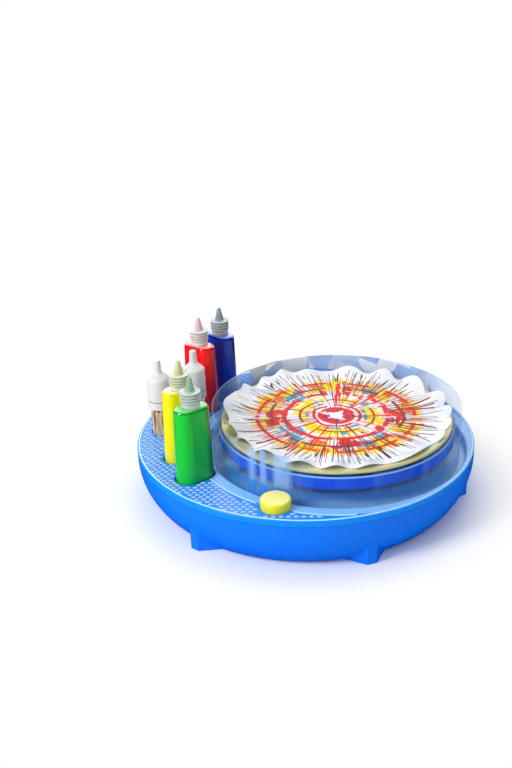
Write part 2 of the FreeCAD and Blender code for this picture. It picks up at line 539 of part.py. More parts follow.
def make_turntable():
    gx, gy = turntable
    rim = "deckHeight + trayRimRise"
    platform = "deckHeight + platformRise"
    skirt_bottom = rim + " - traySkirt"
    trough = rim + " - troughDepth"
    hub_bottom = pedestalTop + " + hubGap"
    spindle_top = platform + " - screwHeadHeight - trayScrewWeb"
    tray = lathe("turntable_tray", [
        ("spindleRadius", hub_bottom), ("hubRadius", hub_bottom), ("hubRadius", platform + " - trayWall"),
        ("platformRadius - trayWall", platform + " - trayWall"),
        ("platformRadius - trayWall", trough + " - trayWall"),
        ("trayRadius - trayWall", trough + " - trayWall"),
        ("trayRadius - trayWall", skirt_bottom), ("trayRadius", skirt_bottom), ("trayRadius", rim),
        ("trayRadius - rimWidth", rim), ("trayRadius - rimWidth", trough), ("platformRadius", trough),
        ("platformRadius", platform), ("trayScrewHeadRadius + screwClearance", platform),
        ("trayScrewHeadRadius + screwClearance", platform + " - screwHeadHeight"),
        ("screwRadius + screwClearance", platform + " - screwHeadHeight"),
        ("screwRadius + screwClearance", spindle_top), ("spindleRadius", spindle_top)])
    rim_height = size("deckHeight") + size("trayRimRise")
    round_rings(tray, "rimRound", [(size("trayRadius"), rim_height),
                                   (size("trayRadius") - size("rimWidth"), rim_height)])
    node(place(tray, gx, gy), "turntable_tray")

    platter = lathe("platter_disc", [(0, platform), ("platterRadius", platform),
                                     ("platterRadius", platform + " + platterThickness"),
                                     (0, platform + " + platterThickness")])
    low = size("deckHeight") + size("platformRise")
    high = low + size("platterThickness")
    round_rings(platter, "platterRound", [(size("platterRadius"), low), (size("platterRadius"), high)])
    node(place(platter, gx, gy), "platter_disc")

    rod = cylinder("spindleRadius", "%s - spindleBottom" % spindle_top, gx, gy, "spindleBottom")
    thread = cylinder("screwRadius", "spindleHoleDepth", gx, gy, "%s - spindleHoleDepth" % spindle_top)
    node(cut(rod, thread), "spindle")
    node(screw("screwRadius", "trayScrewWeb + spindleHoleDepth - 1", "trayScrewHeadRadius",
               "screwHeadHeight - 0.2", gx, gy, "%s - screwHeadHeight" % platform, down=True), "tray_screw")
    bore = "spindleRadius + runningFit"
    upper = fuse(cylinder("bushRadius", "bushLength", gx, gy, "%s - bushLength" % pedestalTop),
                 cylinder("bushFlange", "bushFlangeHeight", gx, gy, pedestalTop))
    node(cut(upper, cylinder(bore, "bushLength + bushFlangeHeight", gx, gy, "%s - bushLength" % pedestalTop)),
         "upper_bush")
    boss_bottom = "plateHeight - plateBossDrop"
    lower_length = "plateBossDrop + plateThickness"
    lower = fuse(cylinder("bushRadius", lower_length, gx, gy, boss_bottom),
                 cylinder("bushFlange", "bushFlangeHeight", gx, gy, "plateHeight + plateThickness"))
    lower_bore = cylinder(bore, "%s + bushFlangeHeight" % lower_length, gx, gy, boss_bottom)
    node(cut(lower, lower_bore), "lower_bush")
    node(tube("clipRadius", "spindleRadius", "clipThickness", gx, gy,
              "%s - clipGap - clipThickness" % boss_bottom), "spindle_clip")


def make_art_paper():
    """A round sheet whose outer ring rises and falls in soft waves."""
    flat = size("paperFlatRadius")
    thick = size("paperThickness")
    waves = int(size("paperWaves"))
    steps = waves * 8
    points = []
    for i in range(steps):
        angle = 2 * math.pi * i / steps
        reach = size("paperRadius") + size("paperWave") * math.sin(waves * angle)
        lift = size("paperLift") * (1 + 0.8 * math.sin((waves - 2) * angle + 1))
        points.append(FreeCAD.Vector(reach * math.cos(angle), reach * math.sin(angle), lift))
    edge = Part.BSplineCurve()
    edge.interpolate(points, PeriodicFlag=True)
    inner = Part.Circle(FreeCAD.Vector(0, 0, 0), FreeCAD.Vector(0, 0, 1), flat).toShape()
    ring = Part.makeRuledSurface(inner, edge.toShape()).extrude(FreeCAD.Vector(0, 0, thick))
    disc = Part.makeCylinder(flat, thick)
    paper = doc.addObject("Part::Feature", "art_paper")
    paper.Shape = disc.fuse(ring).removeSplitter()
    place(paper, "turntableX", "turntableY", "deckHeight + platformRise + platterThickness")
    node(paper, "art_paper")


def make_splash_guard():
    ring = lathe("guard_film", [
        ("guardRadius - filmThickness / 2", "wellTop"), ("guardRadius + filmThickness / 2", "wellTop"),
        ("guardRadius + filmThickness / 2", "wellTop + guardHeight"),
        ("guardRadius - filmThickness / 2", "wellTop + guardHeight")])
    lap = doc.addObject("Part::Cylinder", "guard_lap")
    bind(lap, Radius="guardRadius + 3 * filmThickness / 2", Height="guardHeight", Angle="guardLapWidth")
    place(lap, z="wellTop", turn="guardLapAngle - guardLapWidth / 2")
    strip = cut(lap, cylinder("guardRadius", "guardHeight", z="wellTop"))
    guard = fuse(ring, strip)
    node(place(guard, *turntable), "splash_guard")


def tooth_half_angle(teeth, radius):
    """Half the angle that a tooth fills at this radius, from the involute."""
    pitch = size("gearModule") * teeth / 2
    pressure = math.radians(20)
    base = pitch * math.cos(pressure)
    turn = math.acos(min(1, base / radius))
    involute = math.tan(turn) - turn
    return (math.pi / (2 * teeth) + math.tan(pressure) - pressure - involute
            - size("backlash") / (2 * pitch))


def gear_solid(teeth, first_angle, thickness):
    """A spur gear on the Z axis with a tooth centred at first_angle."""
    module = size("gearModule")
    pitch = module * teeth / 2
    base = pitch * math.cos(math.radians(20))
    root = pitch - 1.2 * module
    tip = pitch + 0.85 * module
    foot = max(root, base)
    middle = (foot + tip) / 2

    def point(radius, angle):
        return FreeCAD.Vector(radius * math.cos(angle), radius * math.sin(angle), 0)

    edges = []
    for i in range(teeth):
        centre = math.radians(first_angle) + 2 * math.pi * i / teeth
        after = centre + 2 * math.pi / teeth
        low = tooth_half_angle(teeth, foot)
        mid = tooth_half_angle(teeth, middle)
        high = tooth_half_angle(teeth, tip)
        if foot > root:
            edges.append(Part.LineSegment(point(root, centre - low), point(foot, centre - low)))
        rise = (point(foot, centre - low), point(middle, centre - mid), point(tip, centre - high))
        fall = (point(tip, centre + high), point(middle, centre + mid), point(foot, centre + low))
        edges.append(Part.Arc(*rise))
        edges.append(Part.Arc(rise[-1], point(tip, centre), fall[0]))
        edges.append(Part.Arc(*fall))
        if foot > root:
            edges.append(Part.LineSegment(point(foot, centre + low), point(root, centre + low)))
        edges.append(Part.Arc(point(root, centre + low), point(root, (centre + after) / 2),
                              point(root, after - low)))
    outline = Part.Wire([edge.toShape() for edge in edges])
    return Part.Face(outline).extrude(FreeCAD.Vector(0, 0, thickness))


def disc_solid(radius, low, high):
    return Part.makeCylinder(radius, high - low, FreeCAD.Vector(0, 0, low))


def feature(name, shape, x, y, z="0"):
    item = doc.addObject("Part::Feature", name)
    item.Shape = shape
    return node(place(item, x, y, z), name)


def make_gears():
    thick = size("gearThickness")
    low = size("lowerGearHeight")
    high = size("upperGearHeight")
    idler_angle = size("idlerAngle")
    motor_angle = size("motorAngle")
    small = int(size("idlerSmallTeeth"))
    large = int(size("idlerLargeTeeth"))
    pinion = int(size("pinionTeeth"))
    wheel = gear_solid(int(size("spindleTeeth")), idler_angle, thick)
    wheel = wheel.fuse(disc_solid(size("gearHubRadius"), low + 0.4 - high, thick + 0.5))
    wheel = wheel.cut(disc_solid(size("spindleRadius"), low - high - 1, thick + 1))
    feature("spindle_gear", wheel, *turntable, "upperGearHeight")

    upper = gear_solid(small, idler_angle + 180 + 180 / small, high - low)
    upper.translate(FreeCAD.Vector(0, 0, thick))
    compound = gear_solid(large, motor_angle, thick).fuse(upper)
    compound = compound.cut(disc_solid(size("axleRadius") + size("runningFit"), -1, high - low + thick + 1))
    feature("idler_gear", compound, *idler, "lowerGearHeight")

    driver = gear_solid(pinion, motor_angle + 180 + 180 / pinion, thick + 1)
    driver = driver.cut(disc_solid(size("motorShaftRadius"), -1, thick + 2))
    feature("motor_pinion", driver, *motor, "lowerGearHeight")


def make_gear_frame():
    gx, gy = turntable
    plate = place(rounded_block("plateLength", "plateWidth", "plateCorner", "plateThickness"),
                  plateMiddle[0], plateMiddle[1], "plateHeight")
    boss_bottom = "plateHeight - plateBossDrop"
    bosses = [cylinder("plateBossRadius", "plateBossDrop", gx, gy, boss_bottom),
              cylinder("axleBossRadius", "plateBossDrop / 2", idler[0], idler[1],
                       "plateHeight - plateBossDrop / 2")]
    holes = [cylinder("bushRadius", "plateBossDrop + plateThickness", gx, gy, boss_bottom),
             cylinder("axleRadius", "plateBossDrop + plateThickness", idler[0], idler[1], boss_bottom),
             cylinder("motorNoseRadius", "plateThickness", motor[0], motor[1], "plateHeight")]
    motor_screws = []
    motor_holes = []
    for side in (-1, 1):
        x, y = polar("%d * motorScrewReach" % side, "motorAngle - 90", motor)
        holes.append(cylinder("motorScrewRadius", "plateThickness", x, y, "plateHeight"))
        motor_screws.append(screw("motorScrewRadius", "plateThickness + motorScrewDepth - 0.5",
                                  "motorScrewHeadRadius", "motorScrewHeadHeight", x, y,
                                  "plateHeight + plateThickness", down=True))
        motor_holes.append(cylinder("motorScrewRadius", "motorScrewDepth", x, y,
                                    "plateHeight - motorScrewDepth"))
    for x, y in plateScrews:
        holes.append(cylinder("screwRadius + screwClearance", "plateThickness", x, y, "plateHeight"))
    node(cut(fuse(plate, *bosses), *holes), "gear_plate")
    node(group(*[screw("screwRadius", "plateThickness + pilotDepth - 1", "screwHeadRadius", "screwHeadHeight",
                       x, y, "plateHeight") for x, y in plateScrews]), "gear_plate_screws")
    node(group(*motor_screws), "motor_screws")
    node(cylinder("axleRadius", "wellUnder + 0.8 - plateHeight + plateBossDrop / 2", idler[0], idler[1],
                  "plateHeight - plateBossDrop / 2"), "idler_axle")
    case = fuse(cylinder("motorRadius", "motorHeight", motor[0], motor[1], "plateHeight - motorHeight"),
                cylinder("motorNoseRadius - 0.1", "motorNoseHeight", motor[0], motor[1], "plateHeight"))
    shaft_hole = cylinder("motorShaftRadius + runningFit", "motorNoseHeight + shaftDepth + 1",
                          motor[0], motor[1], "plateHeight - shaftDepth - 1")
    node(cut(case, shaft_hole, *motor_holes), "motor_case")
    node(cylinder("motorShaftRadius", "lowerGearHeight + gearThickness + shaftStub - plateHeight + shaftDepth",
                  motor[0], motor[1], "plateHeight - shaftDepth"), "motor_shaft")
    node(group(*[screw("screwRadius", "postSplit - counterboreTop + pilotDepth - 1", "screwHeadRadius",
                       "screwHeadHeight", x, y, "counterboreTop") for x, y in coverScrews]), "cover_screws")


def make_button():
    bx, by = button
    top = "deckHeight + buttonRise"
    ceiling = top + " - buttonWall"
    skirt = "deckHeight - buttonSkirt"
    cap = lathe("power_button", [
        (0, "stemBottom"), ("stemRadius", "stemBottom"), ("stemRadius", ceiling),
        ("buttonRadius - buttonWall", ceiling), ("buttonRadius - buttonWall", skirt), ("buttonRadius", skirt),
        ("buttonRadius", top), (0, top)])
    round_rings(cap, "buttonRound", [(size("buttonRadius"), size("deckHeight") + size("buttonRise"))])
    node(place(cap, bx, by), "power_button")
    clip_top = "cupFloorHeight - clipDrop"
    node(tube("buttonClipRadius", "stemRadius", "buttonClipThickness", bx, by,
              clip_top + " - buttonClipThickness"), "button_clip")
    floor = "cupFloorHeight + cupFloor"
    wire = doc.addObject("Part::Helix", "spring_path")
    room = "%s - (%s) - springWire - 2 * runningFit" % (ceiling, floor)
    bind(wire, Radius="springRadius", Height=room, Pitch="(%s) / springTurns" % room)
    section = doc.addObject("Part::Circle", "spring_wire")
    bind(section, Radius="springWire / 2")
    section.Placement.Rotation = FreeCAD.Rotation(FreeCAD.Vector(1, 0, 0), 90)
    section.setExpression("Placement.Base.x", formula("springRadius"))
    spring = doc.addObject("Part::Sweep", "button_spring")
    spring.Sections = [section]
    spring.Spine = (wire, ["Edge1"])
    spring.Solid = True
    spring.Frenet = True
    node(place(spring, bx, by, "%s + springWire / 2 + runningFit" % floor), "button_spring")

    body = box("switchSide", "switchSide", "switchHeight", "-switchSide / 2", "-switchSide / 2", "switchBottom")
    hole = cylinder("plungerRadius + buttonGap", "switchHeight - switchFloor", z="switchBottom + switchFloor")
    node(place(cut(body, hole), bx, by, turn="switchTurn"), "push_switch")
    plunger_bottom = "switchBottom + switchFloor + buttonTravel + clipDrop"
    node(cylinder("plungerRadius", "stemBottom - (%s)" % plunger_bottom, bx, by, plunger_bottom),
         "switch_plunger")
    shelf = box("bracketLength", "bracketWidth", "bracketThickness", "-bracketLength / 2", "-bracketWidth / 2",
                "switchBottom - bracketThickness")
    legs = [box("bracketThickness", "bracketWidth", "cupFloorHeight - switchBottom", low, "-bracketWidth / 2",
                "switchBottom") for low in ("-bracketLength / 2", "bracketLength / 2 - bracketThickness")]
    ears = cut(cylinder("bracketLength / 2", "bracketThickness / 2",
                        z="cupFloorHeight - bracketThickness / 2"),
               cylinder("buttonClipRadius + 1", "bracketThickness", z="cupFloorHeight - bracketThickness"))
    top_ears = common(ears, box("bracketLength", "bracketWidth", "bracketThickness", "-bracketLength / 2",
                                "-bracketWidth / 2", "cupFloorHeight - bracketThickness"))
    node(place(fuse(shelf, top_ears, *legs), bx, by, turn="switchTurn"), "switch_bracket")


def lead_solid(name, points):
    """A round wire: straight runs joined by tangent arcs as large as the runs allow."""
    corners = [FreeCAD.Vector(*point) for point in points]
    starts = [corners[0]]
    edges = []
    radii = []
    for before, corner, after in zip(corners, corners[1:], corners[2:]):
        arriving = (corner - before).normalize()
        leaving = (after - corner).normalize()
        half_turn = arriving.getAngle(leaving) / 2
        reach = 0.45 * min((corner - before).Length, (after - corner).Length)
        radius = reach / math.tan(half_turn)
        radii.append(radius)
        first = corner - arriving * reach
        last = corner + leaving * reach
        inward = (leaving - arriving).normalize()
        middle = corner + inward * (radius / math.cos(half_turn) - radius)
        edges.append(Part.LineSegment(starts[-1], first))
        edges.append(Part.Arc(first, middle, last))
        starts.append(last)
    edges.append(Part.LineSegment(starts[-1], corners[-1]))
    path = Part.Wire([edge.toShape() for edge in edges])
    radius = size("leadRadius")
    heading = corners[1] - corners[0]
    section = Part.Wire([Part.Circle(corners[0], heading, radius).toShape()])
    wire = path.makePipeShell([section], True, True)
    expected = math.pi * radius ** 2 * path.Length
    print("%s: least bend radius %.1f mm, volume over section times length %.4f"
          % (name, min(radii), wire.Volume / expected))
    item = doc.addObject("Part::Feature", name)
    item.Shape = wire
    item.Placement = FreeCAD.Placement()
    node(item, name)


def make_leads():
    motor_x, motor_y = (size(text) for text in motor)
    button_x, button_y = (size(text) for text in button)
    motor_base = size("plateHeight - motorHeight")
    turn = math.radians(size("switchTurn"))
    across = FreeCAD.Vector(math.cos(turn), math.sin(turn), 0)
    inward = FreeCAD.Vector(-math.sin(turn), math.cos(turn), 0)
    switch = FreeCAD.Vector(button_x, button_y, size("switchBottom") + 3)

    def at_switch(offset, distance):
        return tuple(switch + across * offset + inward * (size("switchSide") / 2 + distance))

    front_wall = size("batteryY") - size("cavityWidth") / 2 - size("cavityWall")
    side_wall = size("batteryX") + size("cavityLength") / 2 + size("cavityWall")
    low = size("shellLift") + size("shellFloor") + 2.2
    flat = size("shellLift") + size("shellFloor") + size("leadRadius") + 0.1
    lead_solid("lead_battery_switch", [
        (size("batteryX") + 12, front_wall, 10), (size("batteryX") + 12, front_wall - 9, 10),
        (size("batteryX") + 15, front_wall - 28, low), (size("batteryX") + 22, front_wall - 52, low),
        at_switch(-2.5, 8), at_switch(-2.5, 0)])
    lead_solid("lead_switch_motor", [
        at_switch(1.5, 0), at_switch(1.5, 8), (-14, -88, low + 1), (4, -68, low), (16, -46, low),
        (30, -24, low), (motor_x + 3, motor_y - 16, flat), (motor_x + 3, motor_y, flat),
        (motor_x + 3, motor_y, motor_base)])
    lead_solid("lead_motor_battery", [
        (side_wall, 10, 10), (side_wall + 8, 10, 10), (0, 13, low), (motor_x - 14, motor_y - 2, flat),
        (motor_x - 3, motor_y, flat), (motor_x - 3, motor_y, motor_base)])


make_base_shell()
make_battery_parts()
make_top_cover()
make_bottles()
make_droppers()
make_turntable()
make_art_paper()
make_splash_guard()
make_gears()
make_gear_frame()
make_button()
make_leads()
doc.recompute()

for item in doc.Objects:
    if "Invalid" in item.State or "Error" in item.State:
        raise SystemExit("%s (%s) did not build: %s" % (item.Label, item.Name, item.State))
for item in nodes:
    if item.Shape.isNull() or not item.Shape.isValid() or not item.Shape.Solids:
        raise SystemExit("%s has no sound solid" % item.Label)

os.makedirs("parts", exist_ok=True)
for item in nodes:
    item.Shape.exportStep("parts/%s.step" % item.Label)
    print("%-24s %d solid(s), %.1f cm3" % (item.Label, len(item.Shape.Solids), item.Shape.Volume / 1000))
print("%d nodes" % len(nodes))
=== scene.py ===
import bpy
import json
import math
from mathutils import Euler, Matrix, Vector


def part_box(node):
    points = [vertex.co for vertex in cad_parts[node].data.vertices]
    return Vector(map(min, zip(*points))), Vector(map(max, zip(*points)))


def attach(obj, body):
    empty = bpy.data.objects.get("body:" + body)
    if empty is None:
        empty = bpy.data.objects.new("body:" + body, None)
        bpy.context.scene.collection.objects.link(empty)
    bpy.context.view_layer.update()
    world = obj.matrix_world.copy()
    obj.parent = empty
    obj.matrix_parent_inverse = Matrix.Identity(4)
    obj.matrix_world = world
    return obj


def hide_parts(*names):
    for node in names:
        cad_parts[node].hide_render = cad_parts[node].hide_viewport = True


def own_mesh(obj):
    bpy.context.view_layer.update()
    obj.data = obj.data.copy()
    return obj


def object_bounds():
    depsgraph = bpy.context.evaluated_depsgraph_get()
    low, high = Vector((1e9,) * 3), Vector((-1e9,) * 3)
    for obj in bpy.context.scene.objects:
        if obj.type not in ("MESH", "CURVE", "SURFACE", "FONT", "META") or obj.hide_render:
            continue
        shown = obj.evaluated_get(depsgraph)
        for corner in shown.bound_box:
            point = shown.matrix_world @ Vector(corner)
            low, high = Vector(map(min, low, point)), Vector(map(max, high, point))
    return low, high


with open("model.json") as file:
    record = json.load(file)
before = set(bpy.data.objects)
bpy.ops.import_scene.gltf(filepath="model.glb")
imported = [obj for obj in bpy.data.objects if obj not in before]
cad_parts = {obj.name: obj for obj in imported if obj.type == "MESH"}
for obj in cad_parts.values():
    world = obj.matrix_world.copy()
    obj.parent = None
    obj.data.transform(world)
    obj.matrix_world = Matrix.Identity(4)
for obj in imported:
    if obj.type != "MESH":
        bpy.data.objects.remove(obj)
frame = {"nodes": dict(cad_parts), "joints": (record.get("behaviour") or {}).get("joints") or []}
nodes = frame["nodes"]
joints = {joint["name"]: joint for joint in frame["joints"]}
cadLow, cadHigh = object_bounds()

# Lengths in the dictionaries are in mm, unless a comment says otherwise.
mm = 0.001
deckTop = 47 * mm
baseRadius = cadHigh.x
spinPlace = joints["turntable_spin"]["pos_m"]
turntableAxis = Vector((spinPlace[0], spinPlace[1], 0))

scene = bpy.context.scene
scene.view_settings.view_transform = "Standard"
scene.view_settings.look = "None"

# camera, standing where the picture was taken from; its shifts are in pixels of that picture
camera = {
    "focus": 46.875, "sensor": 36, "elevation": 26.85, "distance": 869.5, "roll": -0.4,
    "pictureHeight": 768, "shiftX": -49.9, "shiftY": 49.4, "nearest": 20, "furthest": 60000,
}


def makeCamera(s):
    data = bpy.data.cameras.new("pictureCamera")
    data.lens = s["focus"]
    data.sensor_width = s["sensor"]
    data.shift_x = s["shiftX"] / s["pictureHeight"]
    data.shift_y = s["shiftY"] / s["pictureHeight"]
    data.clip_start = s["nearest"] * mm
    data.clip_end = s["furthest"] * mm
    item = bpy.data.objects.new("pictureCamera", data)
    scene.collection.objects.link(item)
    tilt = math.radians(s["elevation"])
    distance = s["distance"] * mm
    item.location = (0, -distance * math.cos(tilt), deckTop + distance * math.sin(tilt))
    item.rotation_euler = Euler((math.pi / 2 - tilt, 0, 0))
    item.rotation_euler.rotate_axis("Z", math.radians(s["roll"]))
    scene.camera = item


makeCamera(camera)
print("camera placed")


# material helpers
def linear(code):
    values = [int(code[i:i + 2], 16) / 255 for i in (0, 2, 4)]
    return [v / 12.92 if v <= 0.04045 else ((v + 0.055) / 1.055) ** 2.4 for v in values] + [1]


def darker(code, share):
    return [v * share for v in linear(code)[:3]] + [1]


def addNode(tree, kind, inputs=None, **settings):
    made = tree.nodes.new("ShaderNode" + kind)
    for name, value in settings.items():
        setattr(made, name, value)
    for name, value in (inputs or {}).items():
        if isinstance(value, bpy.types.NodeSocket):
            tree.links.new(value, made.inputs[name])
        else:
            made.inputs[name].default_value = value
    return made


def newMaterial(name, colour, roughness, **sockets):
    material = bpy.data.materials.new(name)
    material.use_nodes = True
    tree = material.node_tree
    tree.nodes.clear()
    shader = addNode(tree, "BsdfPrincipled", {"Base Color": linear(colour), "Roughness": roughness})
    for socket, value in sockets.items():
        shader.inputs[socket.replace("_", " ")].default_value = value
    addNode(tree, "OutputMaterial", {"Surface": shader.outputs[0]})
    return material, tree, shader


def objectPoint(tree, scale=(1, 1, 1)):
    where = addNode(tree, "TexCoord").outputs["Object"]
    return addNode(tree, "Mapping", {"Vector": where, "Scale": scale}).outputs[0]


def turntablePoint(tree):
    where = addNode(tree, "TexCoord").outputs["Object"]
    return addNode(tree, "Mapping", {"Vector": where, "Location": -turntableAxis}).outputs[0]


def axes(tree, vector):
    return addNode(tree, "SeparateXYZ", {0: vector}).outputs


def maths(tree, operation, *values, clamp=False):
    return addNode(tree, "Math", dict(enumerate(values)), operation=operation, use_clamp=clamp).outputs[0]


def reachOf(tree, parts):
    squares = maths(tree, "ADD", maths(tree, "MULTIPLY", parts[0], parts[0]),
                    maths(tree, "MULTIPLY", parts[1], parts[1]))
    return maths(tree, "SQRT", squares)


def spread(tree, value, low, high, newLow=0.0, newHigh=1.0):
    return addNode(tree, "MapRange", {0: value, 1: low, 2: high, 3: newLow, 4: newHigh},
                   interpolation_type="SMOOTHSTEP").outputs[0]


# the same over a span in mm, which is counted from start
def spreadOver(tree, value, span, start=0.0, newLow=0.0, newHigh=1.0):
    return spread(tree, value, start + span[0] * mm, start + span[1] * mm, newLow, newHigh)


def ramp(tree, factor, stops):
    made = addNode(tree, "ValToRGB", {"Fac": factor})
    while len(made.color_ramp.elements) < len(stops):
        made.color_ramp.elements.new(0.5)
    for element, (position, colour) in zip(made.color_ramp.elements, stops):
        element.position = position
        element.color = linear(colour) if isinstance(colour, str) else (colour, colour, colour, 1)
    return made.outputs[0]


def mixColours(tree, factor, first, second):
    made = addNode(tree, "Mix", data_type="RGBA")
    for index, value in ((0, factor), (6, first), (7, second)):
        if isinstance(value, bpy.types.NodeSocket):
            tree.links.new(value, made.inputs[index])
        else:
            made.inputs[index].default_value = linear(value) if isinstance(value, str) else value
    return made.outputs[2]


def addBump(tree, shader, height, depth, strength, after=None):
    inputs = {"Height": height, "Distance": depth * mm, "Strength": strength}
    if after is not None:
        inputs["Normal"] = after
    bump = addNode(tree, "Bump", inputs)
    tree.links.new(bump.outputs[0], shader.inputs["Normal"])
    return bump.outputs[0]


def noise(tree, vector, size, detail=2.0, rough=0.5):
    return addNode(tree, "TexNoise", {"Vector": vector, "Scale": 1 / (size * mm), "Detail": detail,
                                      "Roughness": rough}).outputs[0]


def dress(nodeName, material):
    item = nodes[nodeName]
    item.data.materials.clear()
    item.data.materials.append(material)


# modelling helpers
def clearSelection():
    if bpy.context.object and bpy.context.object.mode != "OBJECT":
        bpy.ops.object.mode_set(mode="OBJECT")
    bpy.ops.object.select_all(action="DESELECT")


def choose(item):
    clearSelection()
    item.select_set(True)
    bpy.context.view_layer.objects.active = item


def joinPieces(items):
    clearSelection()
    for item in items:
        item.select_set(True)
    bpy.context.view_layer.objects.active = items[0]
    bpy.ops.object.join()
    return bpy.context.object


def applyPlace(item):
    choose(item)
    bpy.ops.object.transform_apply(location=True, rotation=True, scale=True)
    return item


def applyModifier(item, kind, **settings):
    choose(item)
    modifier = item.modifiers.new(kind.title(), kind)
    for name, value in settings.items():
        setattr(modifier, name, value)
    bpy.ops.object.modifier_apply(modifier=modifier.name)


def deleteMarked(item, isMarked):
    choose(item)
    bpy.ops.object.mode_set(mode="EDIT")
    bpy.ops.mesh.select_mode(type="VERT")
    bpy.ops.mesh.select_all(action="DESELECT")
    bpy.ops.object.mode_set(mode="OBJECT")
    for vertex in item.data.vertices:
        vertex.select = isMarked(vertex)
    bpy.ops.object.mode_set(mode="EDIT")
    bpy.ops.mesh.delete(type="VERT")
    bpy.ops.object.mode_set(mode="OBJECT")


def closeEnds(item, sides):
    choose(item)
    bpy.ops.object.mode_set(mode="EDIT")
    bpy.ops.mesh.select_all(action="SELECT")
    bpy.ops.mesh.fill_holes(sides=sides)
    bpy.ops.object.mode_set(mode="OBJECT")


# sharper edges than this many degrees stay sharp
smoothAngle = 40


def finishPiece(item, name, material, body):
    item.name = name
    item.data.name = name
    item.data.materials.clear()
    item.data.materials.append(material)
    applyPlace(item)
    bpy.ops.object.mode_set(mode="EDIT")
    bpy.ops.mesh.select_all(action="SELECT")
    bpy.ops.mesh.normals_make_consistent(inside=False)
    bpy.ops.object.mode_set(mode="OBJECT")
    bpy.ops.object.shade_smooth_by_angle(angle=math.radians(smoothAngle))
    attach(item, body)


# blue mouldings of the base and the turntable; in a span of heights above the deck, or of reaches from the
# turntable's axis, one shade gives way to another
baseMoulding = {
    # painted light and shade in this table: the well's colour is a painted light, the apron's and the
    # dash's are painted reflections, the bead's and the tray rim's are painted highlights, and the tray
    # top's is a painted shade
    "cover": "008CFF", "shell": "007AFF", "well": "A6DCFF", "apronReflection": "80BCFA", "tray": "004EE2",
    "trayRimHighlight": "7DB6F5", "trayTopShade": "06247A", "bead": "B4E6FF", "dash": "A6C4EE",
    "roughness": 0.26, "trayRoughness": 0.28, "beadRoughness": 0.2, "dashRoughness": 0.24, "gloss": 0.22,
    "rippleSize": 40, "rippleDepth": 0.03, "grainSize": 0.7, "grainDepth": 0.004, "scuffSize": 9,
    "scuffShade": 0.88, "polished": 0.03, "worn": 0.07,
    "apronReflectionSpan": (119.5, 121), "wellReach": 110.4, "deckSpan": (-0.4, -0.1), "rimSpan": (18.7, 19.1),
    "topShadeSpan": (19.9, 20.2),
}


# Gloss ABS, injection moulded: a clean shine with the faint sink marks of a moulding, a fine grain left by
# polishing and a few scuffs.
def mouldedAbs(name, colour, s, roughness):
    material, tree, shader = newMaterial(name, colour, roughness, IOR=1.53, Specular_IOR_Level=s["gloss"])
    point = objectPoint(tree)
    ripple = noise(tree, point, s["rippleSize"], 1.0)
    grain = noise(tree, point, s["grainSize"], 2.0)
    scuff = noise(tree, point, s["scuffSize"], 5.0, 0.65)
    rippled = addBump(tree, shader, ripple, s["rippleDepth"], 0.6)
    addBump(tree, shader, grain, s["grainDepth"], 0.5, rippled)
    tint = mixColours(tree, maths(tree, "MULTIPLY", scuff, 0.5), colour, darker(colour, s["scuffShade"]))
    tree.links.new(tint, shader.inputs["Base Color"])
    worn = spread(tree, scuff, 0.3, 0.75, roughness - s["polished"], roughness + s["worn"])
    tree.links.new(worn, shader.inputs["Roughness"])
    return material


# The cover's ABS, paler in the well under the turntable, a painted light that lifts the tray's shadow
# there, and on the apron between the well and the crescent, a painted reflection.
def deckAbs(s):
    material = mouldedAbs("coverAbs", s["cover"], s, s["roughness"])
    tree = material.node_tree
    shader = tree.nodes["Principled BSDF"]
    parts = axes(tree, turntablePoint(tree))
    reach = reachOf(tree, parts)
    # painted reflection: on the deck between the well's bead and the crescent, the colour turns paler
    apronReflection = spreadOver(tree, reach, s["apronReflectionSpan"], 0.0, 1.0, 0.0)
    # painted light: inside the well, below the deck, the colour turns paler to lift the tray's shadow
    inside = maths(tree, "LESS_THAN", reach, s["wellReach"] * mm)
    onDeck = spreadOver(tree, parts[2], s["deckSpan"], deckTop)
    body = shader.inputs["Base Color"].links[0].from_socket
    body = mixColours(tree, maths(tree, "MULTIPLY", apronReflection, onDeck), body, s["apronReflection"])
    below = maths(tree, "SUBTRACT", 1.0, onDeck)
    tree.links.new(mixColours(tree, maths(tree, "MULTIPLY", inside, below), body, s["well"]),
                   shader.inputs["Base Color"])
    return material


# The tray's ABS: a painted highlight as a pale line on the shoulder of its rim, and a painted shade on its
# top, where the platter shades it.
def trayAbs(s):
    material = mouldedAbs("trayAbs", s["tray"], s, s["trayRoughness"])
    tree = material.node_tree
    shader = tree.nodes["Principled BSDF"]
    height = axes(tree, objectPoint(tree))[2]
    # painted highlight: a pale line on the shoulder of the rim
    line = spreadOver(tree, height, s["rimSpan"], deckTop)
    # painted shade: the top of the rim, under the platter, turns dark
    top = spreadOver(tree, height, s["topShadeSpan"], deckTop)
    body = shader.inputs["Base Color"].links[0].from_socket
    body = mixColours(tree, line, body, s["trayRimHighlight"])
    tree.links.new(mixColours(tree, top, body, s["trayTopShade"]), shader.inputs["Base Color"])
    return material


# the beads' pale colour is a painted highlight along their rounded tops
beadHighlightAbs = mouldedAbs("beadHighlightAbs", baseMoulding["bead"], baseMoulding, baseMoulding["beadRoughness"])
# the dashes' pale colour is a painted reflection on their tops
dashReflectionAbs = mouldedAbs("dashReflectionAbs", baseMoulding["dash"], baseMoulding, baseMoulding["dashRoughness"])
shellAbs = mouldedAbs("shellAbs", baseMoulding["shell"], baseMoulding, baseMoulding["roughness"])
dress("top_cover", deckAbs(baseMoulding))
dress("base_shell", shellAbs)
dress("battery_door", shellAbs)
dress("turntable_tray", trayAbs(baseMoulding))
print("blue mouldings dressed")

